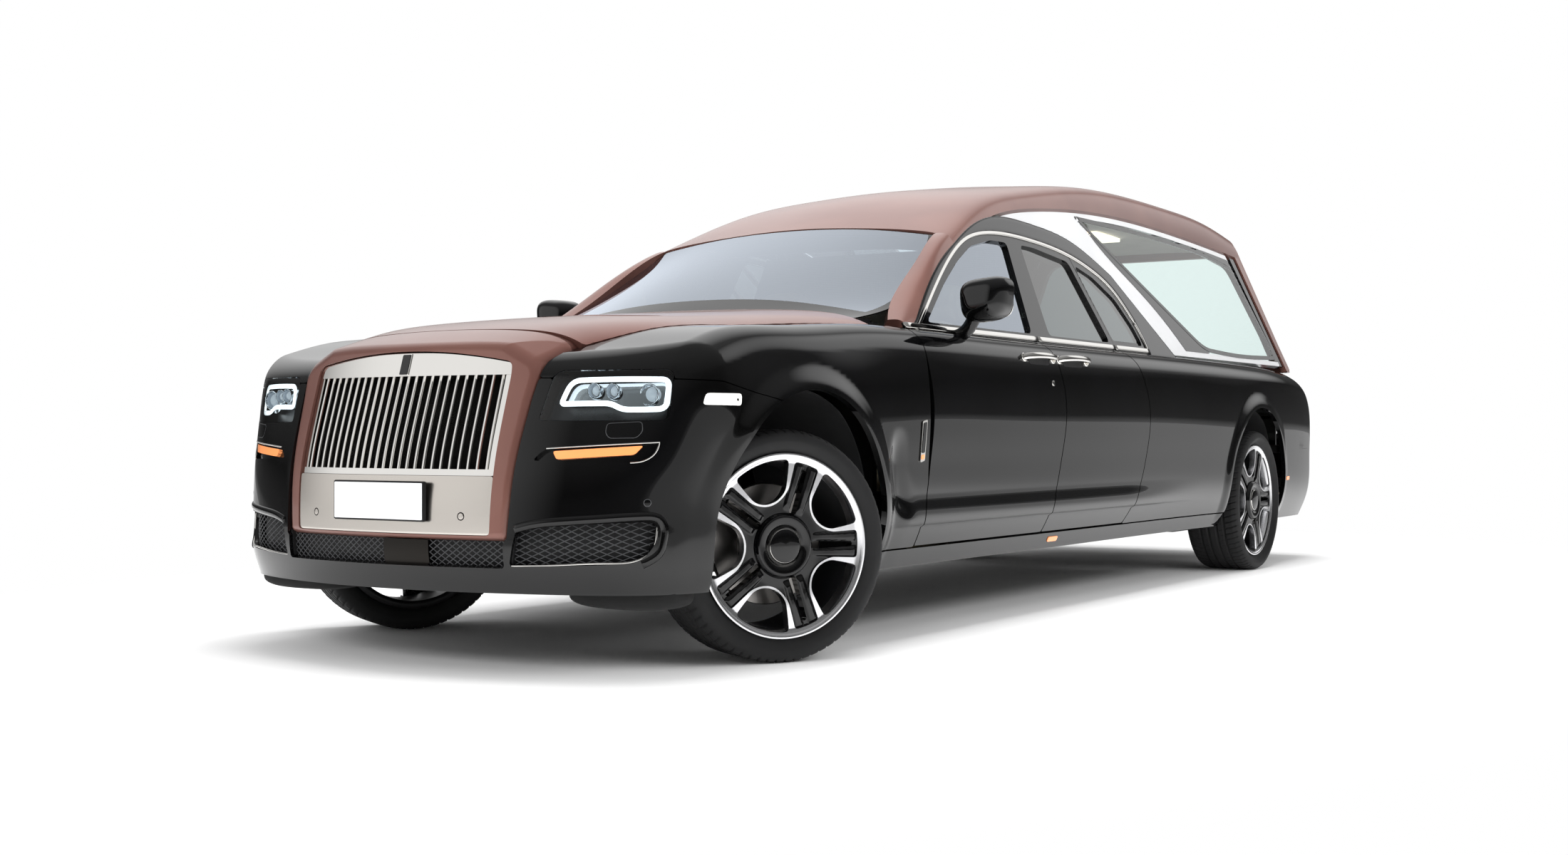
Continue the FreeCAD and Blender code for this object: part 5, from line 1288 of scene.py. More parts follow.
def shutter():
    """Header, posts and foot follow the housing's front; each vane is swept down it."""
    shell = Shell()
    header = mirrored_outline([(0.3985, 0.88), (0.3945, 0.905)], arch_top(0.384, 0.951, 0.24))
    patch(shell, header, -0.008, 0.03, cell=0.006, sides=LEFT, field=grille_block)
    post = mm([(376, 595), (396.5, 595), (398.5, 884), (378, 884)])
    patch(shell, post, -0.01, 0.03, cell=0.006, field=grille_block)
    foot = rect(-0.397, 0.5845, 0.397, 0.603)
    patch(shell, foot, -0.007, 0.03, cell=0.006, sides=LEFT, field=grille_block)
    section = mm([(-4.5, -45), (4.5, -45), (4.5, -4), (3, -0.5), (0, 0), (-3, -0.5), (-4.5, -4)])
    z = np.linspace(0.598, 0.886, 12)
    front = weights(GRILLE_NOSE[:, 0], z) @ GRILLE_NOSE[:, 1:]
    for x in np.linspace(-0.3625, 0.3625, 24):
        y = DATUM + front[:, 0] + bow(abs(x), front[:, 1], 0.28, 0.0, 2) + 0.014
        path = np.stack([np.full(len(z), x), y, z], 1)
        tube(shell, path, section, (0.0, -1.0, 0.0), 0, flat=True)
    shell.build("grille_shutter", "chrome", ["grille"])
    for half, low, high, lift, mark in ((0.019, 0.8815, 0.9475, -0.0055, 0), (0.016, 0.8845, 0.9445, -0.004,
                                                                              1)):
        shield = rect(-half, low, half, high)
        patch(shell, shield, lift, 0.004, mark, 0.004, LEFT, field=grille_block)
    shell.build("header_shield", "chrome black")
    back = mm([(-410, 580), (410, 580), (412, 900), (250, 930), (-250, 930), (-412, 900)])
    patch(shell, back, -0.075, 0.004, cell=0.02, sides=LEFT, field=grille_block)
    shell.build("shutter_backing", "moulded")


def plates():
    shell = Shell()
    panel = mm([(-390.5, 411.5), (390.5, 411.5), (396.8, 583), (-396.8, 583)])
    patch(shell, rounded(panel, 0.008, 4), -0.003, 0.03, cell=0.008, sides=LEFT, field=grille_block)
    for x in (-0.298, 0.298):
        centre, normal = skin_line([(x, 0.466)], -0.0025, field=grille_block)
        disc_at(shell, centre[0], normal[0], 0.0125, 0.004, 1)
        disc_at(shell, centre[0] + normal[0] * 0.0005, normal[0], 0.0095, 0.004, 0)
    shell.build("polished_plate_panel", "brushed dark_metal", ["plate_panel"])
    nose = CAD_BOX[0][1]
    block(shell, (-0.184, nose + 0.0015, 0.448), (0.184, nose + 0.016, 0.566), 1)
    block(shell, (-0.18, nose, 0.452), (0.18, nose + 0.006, 0.562), 0)
    shell.build("blank_front_plate", "plate moulded", ["front_plate"])


class HEARSE_OT_grille(bpy.types.Operator):
    """Copper surround, chrome shutter of upright vanes, polished plate panel and blank plate"""
    bl_idname = "hearse.grille"
    bl_label = "Grille"

    def execute(self, context):
        opening = mirrored_outline(mm([(392, 411), (398, 585), (400, 880), (396, 908)]), arch_top(0.384,
            0.953, 0.24))
        opening = rounded(opening, 0.012, 4)

        def keep(x, s, z):
            return np.minimum.reduce([-within(opening, x, z), z - 0.3965, -0.567 - s])

        shell = Shell()
        points, faces = ray_corner(-1, -0.555, 0.0, 0.385, 90.0, 0.9, 0.4, grille_block, 0.006)
        skin_panel(shell, points, faces, grille_block, keep, 0.055, inward=(0.0, 1.0, 0.0))
        shell.build("surround_shell", "copper", ["grille_surround"])
        shutter()
        plates()
        return {"FINISHED"}


def trays():
    """Soft dark fairings that hang under the bumper, ahead of the wheels."""
    shell = Shell()
    points, faces = ellipsoid((0.66, DATUM - 0.5, 0.235), (0.2, 0.1, 0.045), 3.0)
    points[:, 2] = np.maximum(points[:, 2], 0.165)
    solid(shell, points, faces, sides=BOTH)
    shell.build("bumper_fairings", "underseal")


class HEARSE_OT_intakes(bpy.types.Operator):
    """Netting, dividers and chrome lips of the lower intakes, and the trays below them"""
    bl_idname = "hearse.intakes"
    bl_label = "Intakes"

    def execute(self, context):
        wire = context.scene.hearse_paint.wire
        shell = Shell()
        netting(shell, MIDDLE_INTAKE_HOLE, 0.027, 0.02, -0.022, wire, 0)
        netting(shell, SIDE_INTAKE_HOLE, 0.038, 0.019, -0.022, wire, 0, BOTH)
        wide = rect(-0.445, 0.3, 0.445, 0.4)
        patch(shell, wide, -0.045, 0.004, 1, 0.012, LEFT)
        side = mm([(446, 305), (800, 318), (858, 400), (850, 470), (452, 450)])
        patch(shell, side, -0.045, 0.004, 1, 0.012)
        divider = mm([(437, 312), (460, 312), (476, 424), (439, 400)])
        patch(shell, divider, -0.012, 0.02, 1, 0.006)
        cover = rect(0.01, 0.319, 0.182, 0.396)
        patch(shell, cover, -0.016, 0.01, 2, 0.008, LEFT)
        shell.build("intake_netting", "wire moulded dark_metal", ["lower_grille"])
        path = along(mm([(458, 325.5), (582, 330), (730, 337.5), (798, 346), (826, 370), (835.5, 412),
            (836.5, 440)]), 44)
        points, normals = skin_line(path, -0.004)
        tube(shell, points, circle(0.0035, 8), normals, sides=BOTH)
        brow = along(mm([(474, 434), (520, 446), (600, 456), (720, 465), (806, 471), (836, 466), (847, 445),
            (848, 405), (838, 362), (806, 334)]), 60)
        points, normals = skin_line(brow, -0.004)
        tube(shell, points, circle(0.0135, 14, 0.7), normals, 1, sides=BOTH)
        shell.build("intake_lips", "chrome black")
        trays()
        return {"FINISHED"}


def arch_top(edge_x, crown_z, fall):
    """Points along an arched top from edge_x to the middle: crown minus fall times x squared."""
    x = np.linspace(edge_x, 0.0, 12)
    return np.stack([x, crown_z - fall * x ** 2], 1)


def mirrored_outline(points, top):
    """A closed outline from its right half, listed upwards, and an arched top that ends at the middle."""
    half = np.concatenate([np.asarray(points, float), top])
    return np.concatenate([half, half[:-1][::-1] * (-1.0, 1.0)])


RING_LINE = mm([(560, 795), (578, 864), (846, 864), (847, 777), (738, 777), (703, 796)])
RING_RADII = [0.01, 0.03, 0.022, 0.022, 0.02, 0.02]


def bowls(shell):
    """A large projector outboard, two small bowls inboard, each a turned cup looking forward."""
    places = [((0.8, 0.822), 0.029, 0.03), ((0.646, 0.836), 0.02, 0.026), ((0.699, 0.834), 0.02, 0.026)]
    for (x, z), radius, lift in places:
        centre, _ = skin_line([(x, z)], -lift)
        angle = turns(32)
        profile = [(0.004, 1.12), (-0.004, 1.1), (-0.004, 1.0), (0.006, 0.9), (0.018, 0.82)]
        points = np.concatenate([centre[0] + np.stack([np.cos(angle) * radius * r, np.full(32, forward),
            np.sin(angle) * radius * r], 1) for forward, r in profile])
        faces = sheet_faces(len(profile), 32, wrap=True)
        shell.form(points, faces, 1, BOTH)
        ball, ball_faces = ellipsoid(centre[0] + (0.0, 0.02, 0.0), (radius * 0.82, 0.022, radius * 0.82), 2.0,
            14, 28)
        solid(shell, ball, ball_faces, 2, sides=BOTH)


def flashers():
    shell = Shell()
    slot = FLASHER_HOLE
    patch(shell, slot, -0.016, 0.002, 3, 0.005)
    strip = rounded(mm([(580, 633), (785, 646), (803, 671), (566, 656)]), [0.006, 0.008, 0.004, 0.008])
    patch(shell, strip, -0.004, 0.014, 0, 0.004)
    patch(shell, strip, -0.006, 0.01, 1, 0.006)
    path = np.concatenate([along(mm([(548, 663), (700, 672.5), (837, 680.5)]), 22), along(mm([(837, 680.5),
        (828, 648), (803, 626.5), (776, 622.5)]), 14)[1:]])
    points, normals = skin_line(path, -0.001)
    tube(shell, points, circle(0.0022, 8), normals, 2, sides=BOTH)
    shell.build("flasher_strips", "amber moulded chrome black", ["indicators"])
    washer = rounded(mm([(708, 733), (793, 738), (797, 712), (785, 694), (718, 693), (707, 708)]), 0.008)
    patch(shell, grown(washer, 0.002), 0.0002, 0.001, 1, 0.004)
    patch(shell, washer, 0.001, 0.003, 0, 0.004)
    centre, normal = skin_line([(0.816, 0.509)], 0.0012)
    disc_at(shell, centre[0], normal[0], 0.0115, 0.003, 1, BOTH)
    disc_at(shell, centre[0] + normal[0] * 0.0006, normal[0], 0.0095, 0.003, 0, BOTH)
    shell.build("washer_covers", "black wire")


def side_lamps():
    shell = Shell()
    outline = rounded(mm([(-492, 788), (-350, 787), (-344, 822), (-482, 822)]), 0.011)
    patch(shell, outline, 0.002, 0.006, 0, 0.004, view="side")
    centre, normal = skin_line([(-0.366, 0.804)], 0.0035, "side")
    disc_at(shell, centre[0], normal[0], 0.004, 0.003, 1, BOTH)
    shell.build("side_lamps", "clear_lens dark_metal")
    blade = rounded(mm([(738, 748), (772, 754), (764, 612), (732, 606)]), 0.006)
    patch(shell, blade, 0.004, 0.006, 0, 0.005, view="side")
    inner = rounded(mm([(744, 742), (766, 746), (759, 640), (738, 638)]), 0.004)
    patch(shell, inner, 0.0055, 0.004, 1, 0.005, view="side")
    foot = rounded(mm([(738, 632), (758, 634), (757, 618), (737, 616)]), 0.003)
    patch(shell, foot, 0.0055, 0.004, 2, 0.003, view="side")
    shell.build("fender_blades", "chrome black amber")


class HEARSE_OT_lamps(bpy.types.Operator):
    """Headlamps with light rings and projectors, amber flashers and side lamps"""
    bl_idname = "hearse.lamps"
    bl_label = "Lamps"

    def execute(self, context):
        shell = Shell()
        cover = grown(LAMP_HOLE, -0.001)
        patch(shell, cover, -0.001, 0.003, 0, 0.006)
        shell.build("lamp_covers", "lamp_cover", ["headlamps"])
        patch(shell, cover, -0.058, -0.055, 0, 0.008)
        patch(shell, grown(rounded(RING_LINE, RING_RADII), -0.004), -0.04, 0.003, 1, 0.008)
        bowls(shell)
        shell.build("lamp_bowls", "lamp_black lamp_chrome projector")
        corners = rounded(RING_LINE, RING_RADII, 9)
        path = along(np.concatenate([corners, corners[:1]]), 160)[:-1]
        points, normals = skin_line(path, -0.016)
        solid(shell, *sweep(points, circle(0.0082, 10, 0.45), normals, closed=True), sides=BOTH)
        shell.build("light_rings", "lamp_ring")
        flashers()
        side_lamps()
        return {"FINISHED"}


FACE_A = 0.112               # wheel's face, outboard of its middle
SPOKES = 5


def settling(end, sign):
    """Puts a wheel's own frame in place; both front wheels are turned the same way about their kingpins."""
    front = end == "front"
    angle, axle = (-STEER_REST, FRONT_AXLE) if front else (0.0, REAR_AXLE)
    kingpin, offset = (KINGPIN_X, KINGPIN_OFFSET) if front else (0.0, REAR_TRACK_HALF)
    c, s = math.cos(angle), math.sin(angle)

    def settle(points):
        x, y = sign * (points[:, 0] + offset), points[:, 1]
        return np.stack([sign * kingpin + c * x - s * y, DATUM + axle + s * x + c * y, HUB_Z + points[:, 2]],
            1)
    return settle, sign


def put(shell, points, faces, settle, mark, depth=0.0):
    """Adds a piece in the wheel's own frame: x outboard, turned to look outboard if asked."""
    place_it, sign = settle
    settled = place_it(points)
    if depth:
        faces, normals = looking(points, faces, 0)
    faces_here = faces if sign > 0 else faces[:, ::-1]
    if depth:
        pointing = place_it(points + normals) - settled
        inward = place_it(np.array([[-1.0, 0.0, 0.0]])) - place_it(np.zeros((1, 3)))
        shell.panel(settled, faces_here, pointing, depth, mark, inward[0])
    else:
        shell.add(settled, faces_here, None, mark)


def rim(node, body_name, settle):
    shell = Shell()
    barrel = mm([(-118, 270), (-118, 284.5), (-106, 284.5), (-106, 268), (106, 268), (106, 284.5)])
    lip = mm([(106, 284.5), (117.5, 286.5), (119.5, 284.5), (119, 278), (116.5, 271), (108, 266), (95, 260),
        (70, 256)])
    inside = mm([(70, 256), (30, 254), (-118, 256), (-118, 270)])
    spin(shell, settle, 120, (barrel, 1), (lip, 0), (inside, 1))
    face(shell, settle)
    hub = mm([(-60, 105), (100, 104), (108, 98), (116.5, 93.5), (118.5, 88), (116.5, 70), (112, 64),
        (106, 60), (106, 54.5)])
    cap = mm([(106, 54.5), (115, 54), (116.5, 51.5)])
    dome = mm([(116.5, 51.5), (118, 48), (120, 38), (121.3, 22), (121.8, 0.4)])
    disc = mm([(-6, 105), (-6, 187), (-8, 190), (-26, 190), (-28, 187), (-28, 105)])
    hat = mm([(20, 60), (20, 96), (16, 100), (-6, 105.5)])
    spin(shell, settle, 72, (hub, 2), (cap, 4), (dome, 2), (disc, 3), (hat, 3))
    shell.build("wheel_" + node, "machined barrel black disc chrome", [node], body_name)


def spin(shell, settle, count, *profiles):
    """Adds turned profiles, each with its mark."""
    for profile, mark in profiles:
        points, faces = turned(profile, count)
        put(shell, points, facing(points, faces, profile), settle, mark)


def facing(points, faces, profile):
    """Faces of a turned profile, turned to look away from the metal on its left."""
    profile = np.asarray(profile, float)
    da, dr = np.diff(profile, axis=0)[0]
    a, b, c = points[faces[0]]
    normal = np.cross(b - a, c - a)
    middle = (a + b + c) / 3
    radial = middle * (0.0, 1.0, 1.0) / max(np.linalg.norm(middle[1:]), 1e-9)
    wanted = np.array([dr, 0.0, 0.0]) - radial * da
    return faces[:, ::-1] if np.dot(normal, wanted) > 0 else faces


def face(shell, settle):
    """The spoked face on a polar grid, cut into polished frames and black inlays by two fields.

    A window is bounded by a line beside each neighbouring spoke, the rim and a rounded inner end."""
    columns = 84 * SPOKES
    angle = turns(columns)
    radius = np.linspace(0.094, 0.28, 66)
    r, turn = np.repeat(radius, columns), np.tile(angle, len(radius))
    half_sector = math.pi / SPOKES
    from_spoke = (turn + half_sector) % (2 * half_sector) - half_sector
    across, out = np.abs(r * np.sin(from_spoke)), r * np.cos(from_spoke)
    toward = half_sector - np.abs(from_spoke)
    middle_out = r * np.cos(toward)
    black_half = 0.0365 + 0.0075 * np.clip((out - 0.116) / 0.15, 0.0, 1.0)
    strip = 0.0065 + 0.018 * np.clip((out - 0.12) / 0.145, 0.0, 1.2) ** 1.7
    window = round_max(round_max(black_half + strip - across, r - 0.2655, 0.014), 0.138 - middle_out, 0.034)
    frame_edge = round_max(round_max(black_half - across, r - 0.3, 0.014), 0.131 - middle_out, 0.04)
    inlay = -round_max(-frame_edge, r - 0.261, 0.009)
    slot_half = 0.0125 - 0.0045 * np.clip((out - 0.1) / 0.145, 0.0, 1.0)
    slot = -round_max(round_max(across - slot_half, out - 0.245, 0.008), 0.101 - out, 0.008)
    crown = FACE_A + 0.0055 * step_between(0.255, 0.28, r) - 0.003 * step_between(0.2, 0.12, r)
    bar_middle = 0.5 * (slot_half + black_half)
    bar = step_between(1.0, 0.55, np.abs(across - bar_middle) / (0.5 * (black_half - slot_half)))
    bar *= step_between(0.105, 0.125, out) * step_between(0.26, 0.252, r)
    plain = np.stack([crown, r * np.cos(turn), r * np.sin(turn)], 1)
    faces = sheet_faces(len(radius), columns, wrap=True)
    polished_value = np.minimum(window, -inlay)
    put(shell, *trim(plain, faces, polished_value), settle, 0, 0.03)
    raised = plain + np.stack([-0.0065 + 0.006 * bar, 0 * r, 0 * r], 1)
    put(shell, *trim(raised, faces, np.minimum(inlay + 0.0006, -slot)), settle, 2, 0.03)


def tyre(node, body_name, settle, half):
    """A turned section whose tread is lowered along four grooves and slanted shoulder slots."""
    side = [(0.106, 0.2845), (0.1135, 0.29), (0.1165, 0.296), (0.1225, 0.303), (half - 0.001, 0.318),
        (half - 0.0005, 0.326), (half - 0.003, 0.339), (half - 0.0085, 0.348), (half - 0.016, 0.3535),
        (half - 0.026, 0.3568)]
    tread = np.linspace(half - 0.032, -(half - 0.032), 67)
    side = np.array(side)
    profile = np.concatenate([side, np.stack([tread, 0.36 - 0.0022 * (tread / half) ** 4], 1),
        side[::-1] * (-1.0, 1.0)])
    count = 720
    points, faces = turned(profile, count)
    a = points[:, 0]
    turn = np.tile(turns(count), len(profile))
    lowered = np.zeros(len(points))
    for groove in (0.022, 0.062):
        lowered = np.maximum(lowered, 0.007 * step_between(0.0062, 0.004, np.abs(np.abs(a) - groove)))
    phase = (turn * 72 / (2 * math.pi) + 9.0 * np.abs(a)) % 1.0
    slots = (phase < 0.16) & (np.abs(a) > 0.072) & (np.hypot(points[:, 1], points[:, 2]) > 0.35)
    lowered = np.maximum(lowered, np.where(slots, 0.0045, 0.0))
    sipes = (phase < 0.09) & (np.abs(a) > 0.03) & (np.abs(a) < 0.055)
    lowered = np.maximum(lowered, np.where(sipes, 0.003, 0.0))
    radial = points * (0.0, 1.0, 1.0)
    radial /= np.linalg.norm(radial, axis=1)[:, None]
    points = points - radial * lowered[:, None]
    shell = Shell()
    put(shell, points, facing(points, faces, profile[::-1] * 1.0), settle, 0)
    shell.build("tread_" + node, "rubber", [node], body_name)


class HEARSE_OT_wheels(bpy.types.Operator):
    """Five-spoke polished wheels with black double bars, brake discs and grooved tyres"""
    bl_idname = "hearse.wheels"
    bl_label = "Wheels"

    def execute(self, context):
        for sign, side in SIDES:
            for end, half in (("front", 0.1275), ("rear", 0.14)):
                node, body_name = "%s_rim_%s" % (end, side), "%s_wheel_%s" % (end, side)
                settle = settling(end, sign)
                rim(node, body_name, settle)
                tyre("%s_tyre_%s" % (end, side), body_name, settle, half)
        return {"FINISHED"}


def screen():
    """The windscreen: a spline across three half widths and along the stations of its table."""
    station, edge_x, edge_z, mid_x, mid_z, centre_z = SCREEN.T
    s = np.linspace(SCREEN[0, 0], 1.455, 60)
    lengthwise = weights(station, s)
    x_table = np.stack([-edge_x, -mid_x, 0 * mid_x, mid_x, edge_x], 1)
    z_table = np.stack([edge_z, mid_z, centre_z, mid_z, edge_z], 1)
    share = np.linspace(-1.0, 1.0, 81)
    across = weights([-1.0, -0.53, 0.0, 0.53, 1.0], share)
    x, z = lengthwise @ x_table @ across.T, lengthwise @ z_table @ across.T
    points, faces = lofted(x, s, z)
    faces, _ = looking(points, faces, 2)
    u, v = np.tile(share, len(s)), np.repeat((s - s[0]) / (s[-1] - s[0]), 81)
    inside = np.minimum(0.955 - np.abs(u), np.minimum(0.965 - v, v - 0.13) * 1.4)
    for keep_it, name, key in ((inside, "windscreen_pane", "screen"), (-inside, "windscreen_border", "frit")):
        kept, kept_faces = trim(points, faces, keep_it)
        shell = Shell()
        shell.panel(kept, kept_faces, smooth_normals(kept, kept_faces), 0.004)
        shell.build(name, key, ["windscreen"] if key == "screen" else [])


class HEARSE_OT_glass(bpy.types.Operator):
    """Silver bands, load bay glass with dark borders, quarter panes and the windscreen"""
    bl_idname = "hearse.glass"
    bl_label = "Glass"

    def execute(self, context):
        cant = along([(s, z - 0.006) for s, z in zip(ROOF[:, 0], ROOF[:, 1])], 60)
        cant = cant[(cant[:, 0] > 1.95) & (cant[:, 0] < 5.17)]
        rail = [p for p in RAIL if p[0] > 1.96][::-1]
        silver = np.concatenate([[(1.946, 1.6)], cant[cant[:, 0] < 4.97], [(5.108, 1.078), (3.452, 1.078)],
            rail])
        front_edge = along(mm([(2880, 1700), (3020, 1565), (3287, 1395), (3560, 1190), (3640, 1106)]), 24)
        top_edge = cant[(cant[:, 0] > 2.9) & (cant[:, 0] < 4.96)][::-1] - (0.0, 0.034)
        zone = np.concatenate([front_edge, [(5.104, 1.102)], top_edge])
        pane = rounded(CARGO_PANE, CARGO_RADII, 12)
        shell = Shell()
        slab(shell, silver, [zone], 0.006, 0.03)
        shell.build("silver_bands", "silver", ["side_bands"])
        black = np.concatenate([mm([(5108, 1078), (5228, 1078), (5165, 1690)]), cant[cant[:,
            0] > 4.95][::-1]])
        slab(shell, black, [], 0.007, 0.03)
        slab(shell, zone, [grown(pane, 0.006)], 0.0045, 0.028)
        shell.build("load_bay_frames", "black")
        border = grown(pane, -0.018)
        slab(shell, grown(pane, 0.003), [border], 0.0035, 0.003)
        quarter = rounded(QUARTER_PANE, 0.03)
        slab(shell, quarter, [grown(quarter, -0.012)], 0.01, 0.003)
        shell.build("glass_borders", "frit")
        slab(shell, grown(border, 0.001), [], 0.0035, 0.003, cell=0.03)
        slab(shell, grown(quarter, -0.011), [], 0.01, 0.003, cell=0.03, mark=1)
        shell.build("load_bay_glass", "cargo_glass dark_glass", ["side_glass"])
        screen()
        return {"FINISHED"}


def grown(outline, amount):
    """A closed outline moved out along its normals by an amount."""
    outline = np.asarray(outline, float)
    run = np.roll(outline, -1, axis=0) - np.roll(outline, 1, axis=0)
    run /= np.maximum(np.linalg.norm(run, axis=1), 1e-9)[:, None]
    area = np.sum(outline[:, 0] * np.roll(outline[:, 1], -1) - outline[:, 1] * np.roll(outline[:, 0], -1))
    out = np.stack([run[:, 1], -run[:, 0]], 1) * np.sign(area)
    return outline + out * amount


def belt():
    """A chrome strip on each door and quarter, just under the glass."""
    section = mm([(-11.5, -12), (11.5, -12), (11.5, 2), (8, 5.5), (-8, 5.5), (-11.5, 2)])
    parts = [("front_door", 0.78, 1.878), ("rear_door", 1.888, 2.69), ("body", 2.7, 3.094)]
    for part, start, end in parts:
        for sign, side in SIDES:
            shell = Shell()
            s = np.linspace(start, end, 24)
            path = on_plane(np.stack([s, np.full(24, 1.084)], 1), -0.0015)
            tube(shell, path, section, PLANE_NORMAL, sides=(sign,))
            owner = part if part == "body" else part + "_" + side
            shell.build("belt_strip_%s_%s" % (part, side), "chrome", body_name=owner)


def handles():
    """Two bars that point at each other across the shut, each over a dark shell in the skin."""
    for part, s0, s1 in (("front_door", 1.592, 1.88), ("rear_door", 1.918, 2.212)):
        for sign, side in SIDES:
            shell = Shell()
            s = np.linspace(s0, s1, 26)
            share = np.linspace(0.0, 1.0, 26)
            points, normals = skin_line(np.stack([s, np.full(26, 1.0)], 1), 0.004, "side")
            lift = 0.034 * np.sin(math.pi * np.clip(share, 0.0, 1.0)) ** 0.45
            points = points + normals * lift[:, None]
            oval = circle(0.0125, 14, 0.62)
            tube, faces = sweep(points, oval, normals)
            solid(shell, tube, faces, sides=(sign,))
            for end in (s0 + 0.012, s1 - 0.012):
                foot, normal = skin_line([(end, 1.0)], 0.004, "side")
                disc_at(shell, foot[0], normal[0], 0.018, 0.006, 0, (sign,))
            node = part + "_" + side
            shell.build("handle_" + node, "chrome", body_name=node)
            cup = rounded(rect(s0 + 0.05, 0.975, s1 - 0.05, 1.012), 0.018)
            patch(shell, cup, 0.0008, 0.002, 0, 0.006, (sign,), view="side")
            if part == "front_door":
                lock, normal = skin_line([(1.85, 0.905)], 0.003, "side")
                disc_at(shell, lock[0], normal[0], 0.011, 0.004, 1, (sign,))
            shell.build("handle_cup_" + node, "moulded chrome", body_name=node)


def markers():
    shell = Shell()
    for s, z in ((1.957, 0.282), (4.973, 0.463)):
        lamp = rounded(rect(s - 0.045, z - 0.01, s + 0.045, z + 0.01), 0.009)
        patch(shell, lamp, 0.003, 0.006, 0, 0.004, view="side")
    shell.build("side_markers", "amber")


class HEARSE_OT_trims(bpy.types.Operator):
    """Chrome window surrounds, belt strips, handles, locks and marker lamps"""
    bl_idname = "hearse.trims"
    bl_label = "Side trims"

    def execute(self, context):
        shell = Shell()
        frame_line = on_plane(along(FRAME_CURVE[:-1], 90), -0.001)
        bead = mm([(-8.5, -6), (8.5, -6), (8.5, 2), (5.5, 5), (-5.5, 5), (-8.5, 2)])
        tube(shell, frame_line, bead, PLANE_NORMAL, sides=BOTH)
        tail = on_plane(along(mm([(3060, 1215), (3084, 1150), (3094, 1078)]), 12), -0.001)
        tube(shell, tail, bead, PLANE_NORMAL, sides=BOTH)
        shell.build("window_beads", "chrome")
        belt()
        handles()
        markers()
        return {"FINISHED"}


class HEARSE_OT_mirrors(bpy.types.Operator):
    """Rounded door mirrors on slim stalks"""
    bl_idname = "hearse.mirrors"
    bl_label = "Mirrors"

    def execute(self, context):
        for sign, side in SIDES:
            shell = Shell()

            def squash(points):
                """Flat behind, domed ahead, narrower below."""
                x, y, z = points.T
                y = np.where(y > 0.0, y * 0.35, y)
                return np.stack([x * (1.0 + 1.2 * z), y, z + 0.1 * x], 1)

            shape, faces = ellipsoid((1.0, DATUM + 1.19, 1.192), (0.092, 0.1, 0.079), 3.4, 30, 56, squash)
            solid(shell, shape, faces, 0, sides=(sign,))
            stalk = along([(0.872, DATUM + 1.17, 1.06), (0.905, DATUM + 1.168, 1.072),
                (0.935, DATUM + 1.165, 1.1), (0.96, DATUM + 1.165, 1.15)], 16)
            tube(shell, stalk, circle(0.026, 16, 0.8), (0.0, 1.0, 0.0), 0, sides=(sign,))
            glass, glass_faces = ellipsoid((1.0, DATUM + 1.2252, 1.192), (0.08, 0.003, 0.067), 3.4, 12, 40)
            solid(shell, glass, glass_faces, 1, sides=(sign,))
            shell.build("mirror_shell_" + side, "black chrome", ["mirror_" + side],
                "front_door_" + side)
        return {"FINISHED"}


def gate_y(z):
    """Station of the tailgate's sloping outer face at a height."""
    return np.interp(z, [1.0, 1.752, 1.87], [5.298, 5.211, 5.205])


def upper():
    """A copper frame that follows the roof's end, around the rear glass."""
    edge_x, edge_z = ROOF[-1, 2], ROOF[-1, 3]
    cant_z, mid_z, crown_z = ROOF[-1, 1], ROOF[-1, 4], ROOF[-1, 5]
    top = along([(plane_x(cant_z) - 0.004, cant_z), (edge_x, edge_z - 0.004), (ROOF_MID_X, mid_z - 0.004),
        (0.0, crown_z - 0.004), (-ROOF_MID_X, mid_z - 0.004), (-edge_x, edge_z - 0.004),
        (-plane_x(cant_z) + 0.004, cant_z)], 60)
    outer = np.concatenate([[(-0.88, 1.046), (0.88, 1.046)], top])
    hole = rounded(mm([(-785, 1090), (785, 1090), (556, 1660), (500, 1706), (-500, 1706), (-556, 1660)]),
        0.05)
    x, z = np.linspace(-0.9, 0.9, 181), np.linspace(1.03, 1.86, 84)
    gx, gz = (part.ravel() for part in np.meshgrid(x, z))
    points = np.stack([gx, gate_y(gz) + DATUM - 0.02 * (gx / 0.8) ** 2, gz], 1)
    grid = sheet_faces(len(z), len(x))
    shell = Shell()
    kept, faces = trim(points, grid, np.minimum(within(outer, gx, gz), -within(hole, gx, gz)))
    shell.panel(kept, *looking(kept, faces, 1), 0.045, inward=(0.0, -1.0, 0.0))
    shell.build("tailgate_frame", "copper", ["tailgate"], "tailgate")
    kept, faces = trim(points, grid, within(hole, gx, gz) + 0.004)
    kept = kept - (0.0, 0.01, 0.0)
    shell.panel(kept, *looking(kept, faces, 1), 0.005, inward=(0.0, -1.0, 0.0))
    shell.build("tailgate_pane", "cargo_glass", ["tailgate_glass"], "tailgate")


def lower():
    """The painted panel below the glass: the body's own tail between its shuts."""
    points, faces = ray_corner(1, TAIL_S - 0.1, 0.0, 0.6, 90.0)

    def keep(x, s, z):
        return np.minimum.reduce([0.687 - x, z - 0.625, 1.045 - z, s - 5.262])

    shell = Shell()
    skin_panel(shell, points, faces, body, keep, 0.02)
    handle = along([(-0.2, DATUM + 5.64, 0.905), (0.0, DATUM + 5.646, 0.908), (0.2, DATUM + 5.64, 0.905)], 20)
    solid(shell, *sweep(handle, mm([(-10, -12), (10, -12), (12, 4), (0, 12), (-12, 4)]), (0.0, 1.0, 0.0)), 1)
    shell.build("tailgate_panel", "black chrome", body_name="tailgate")


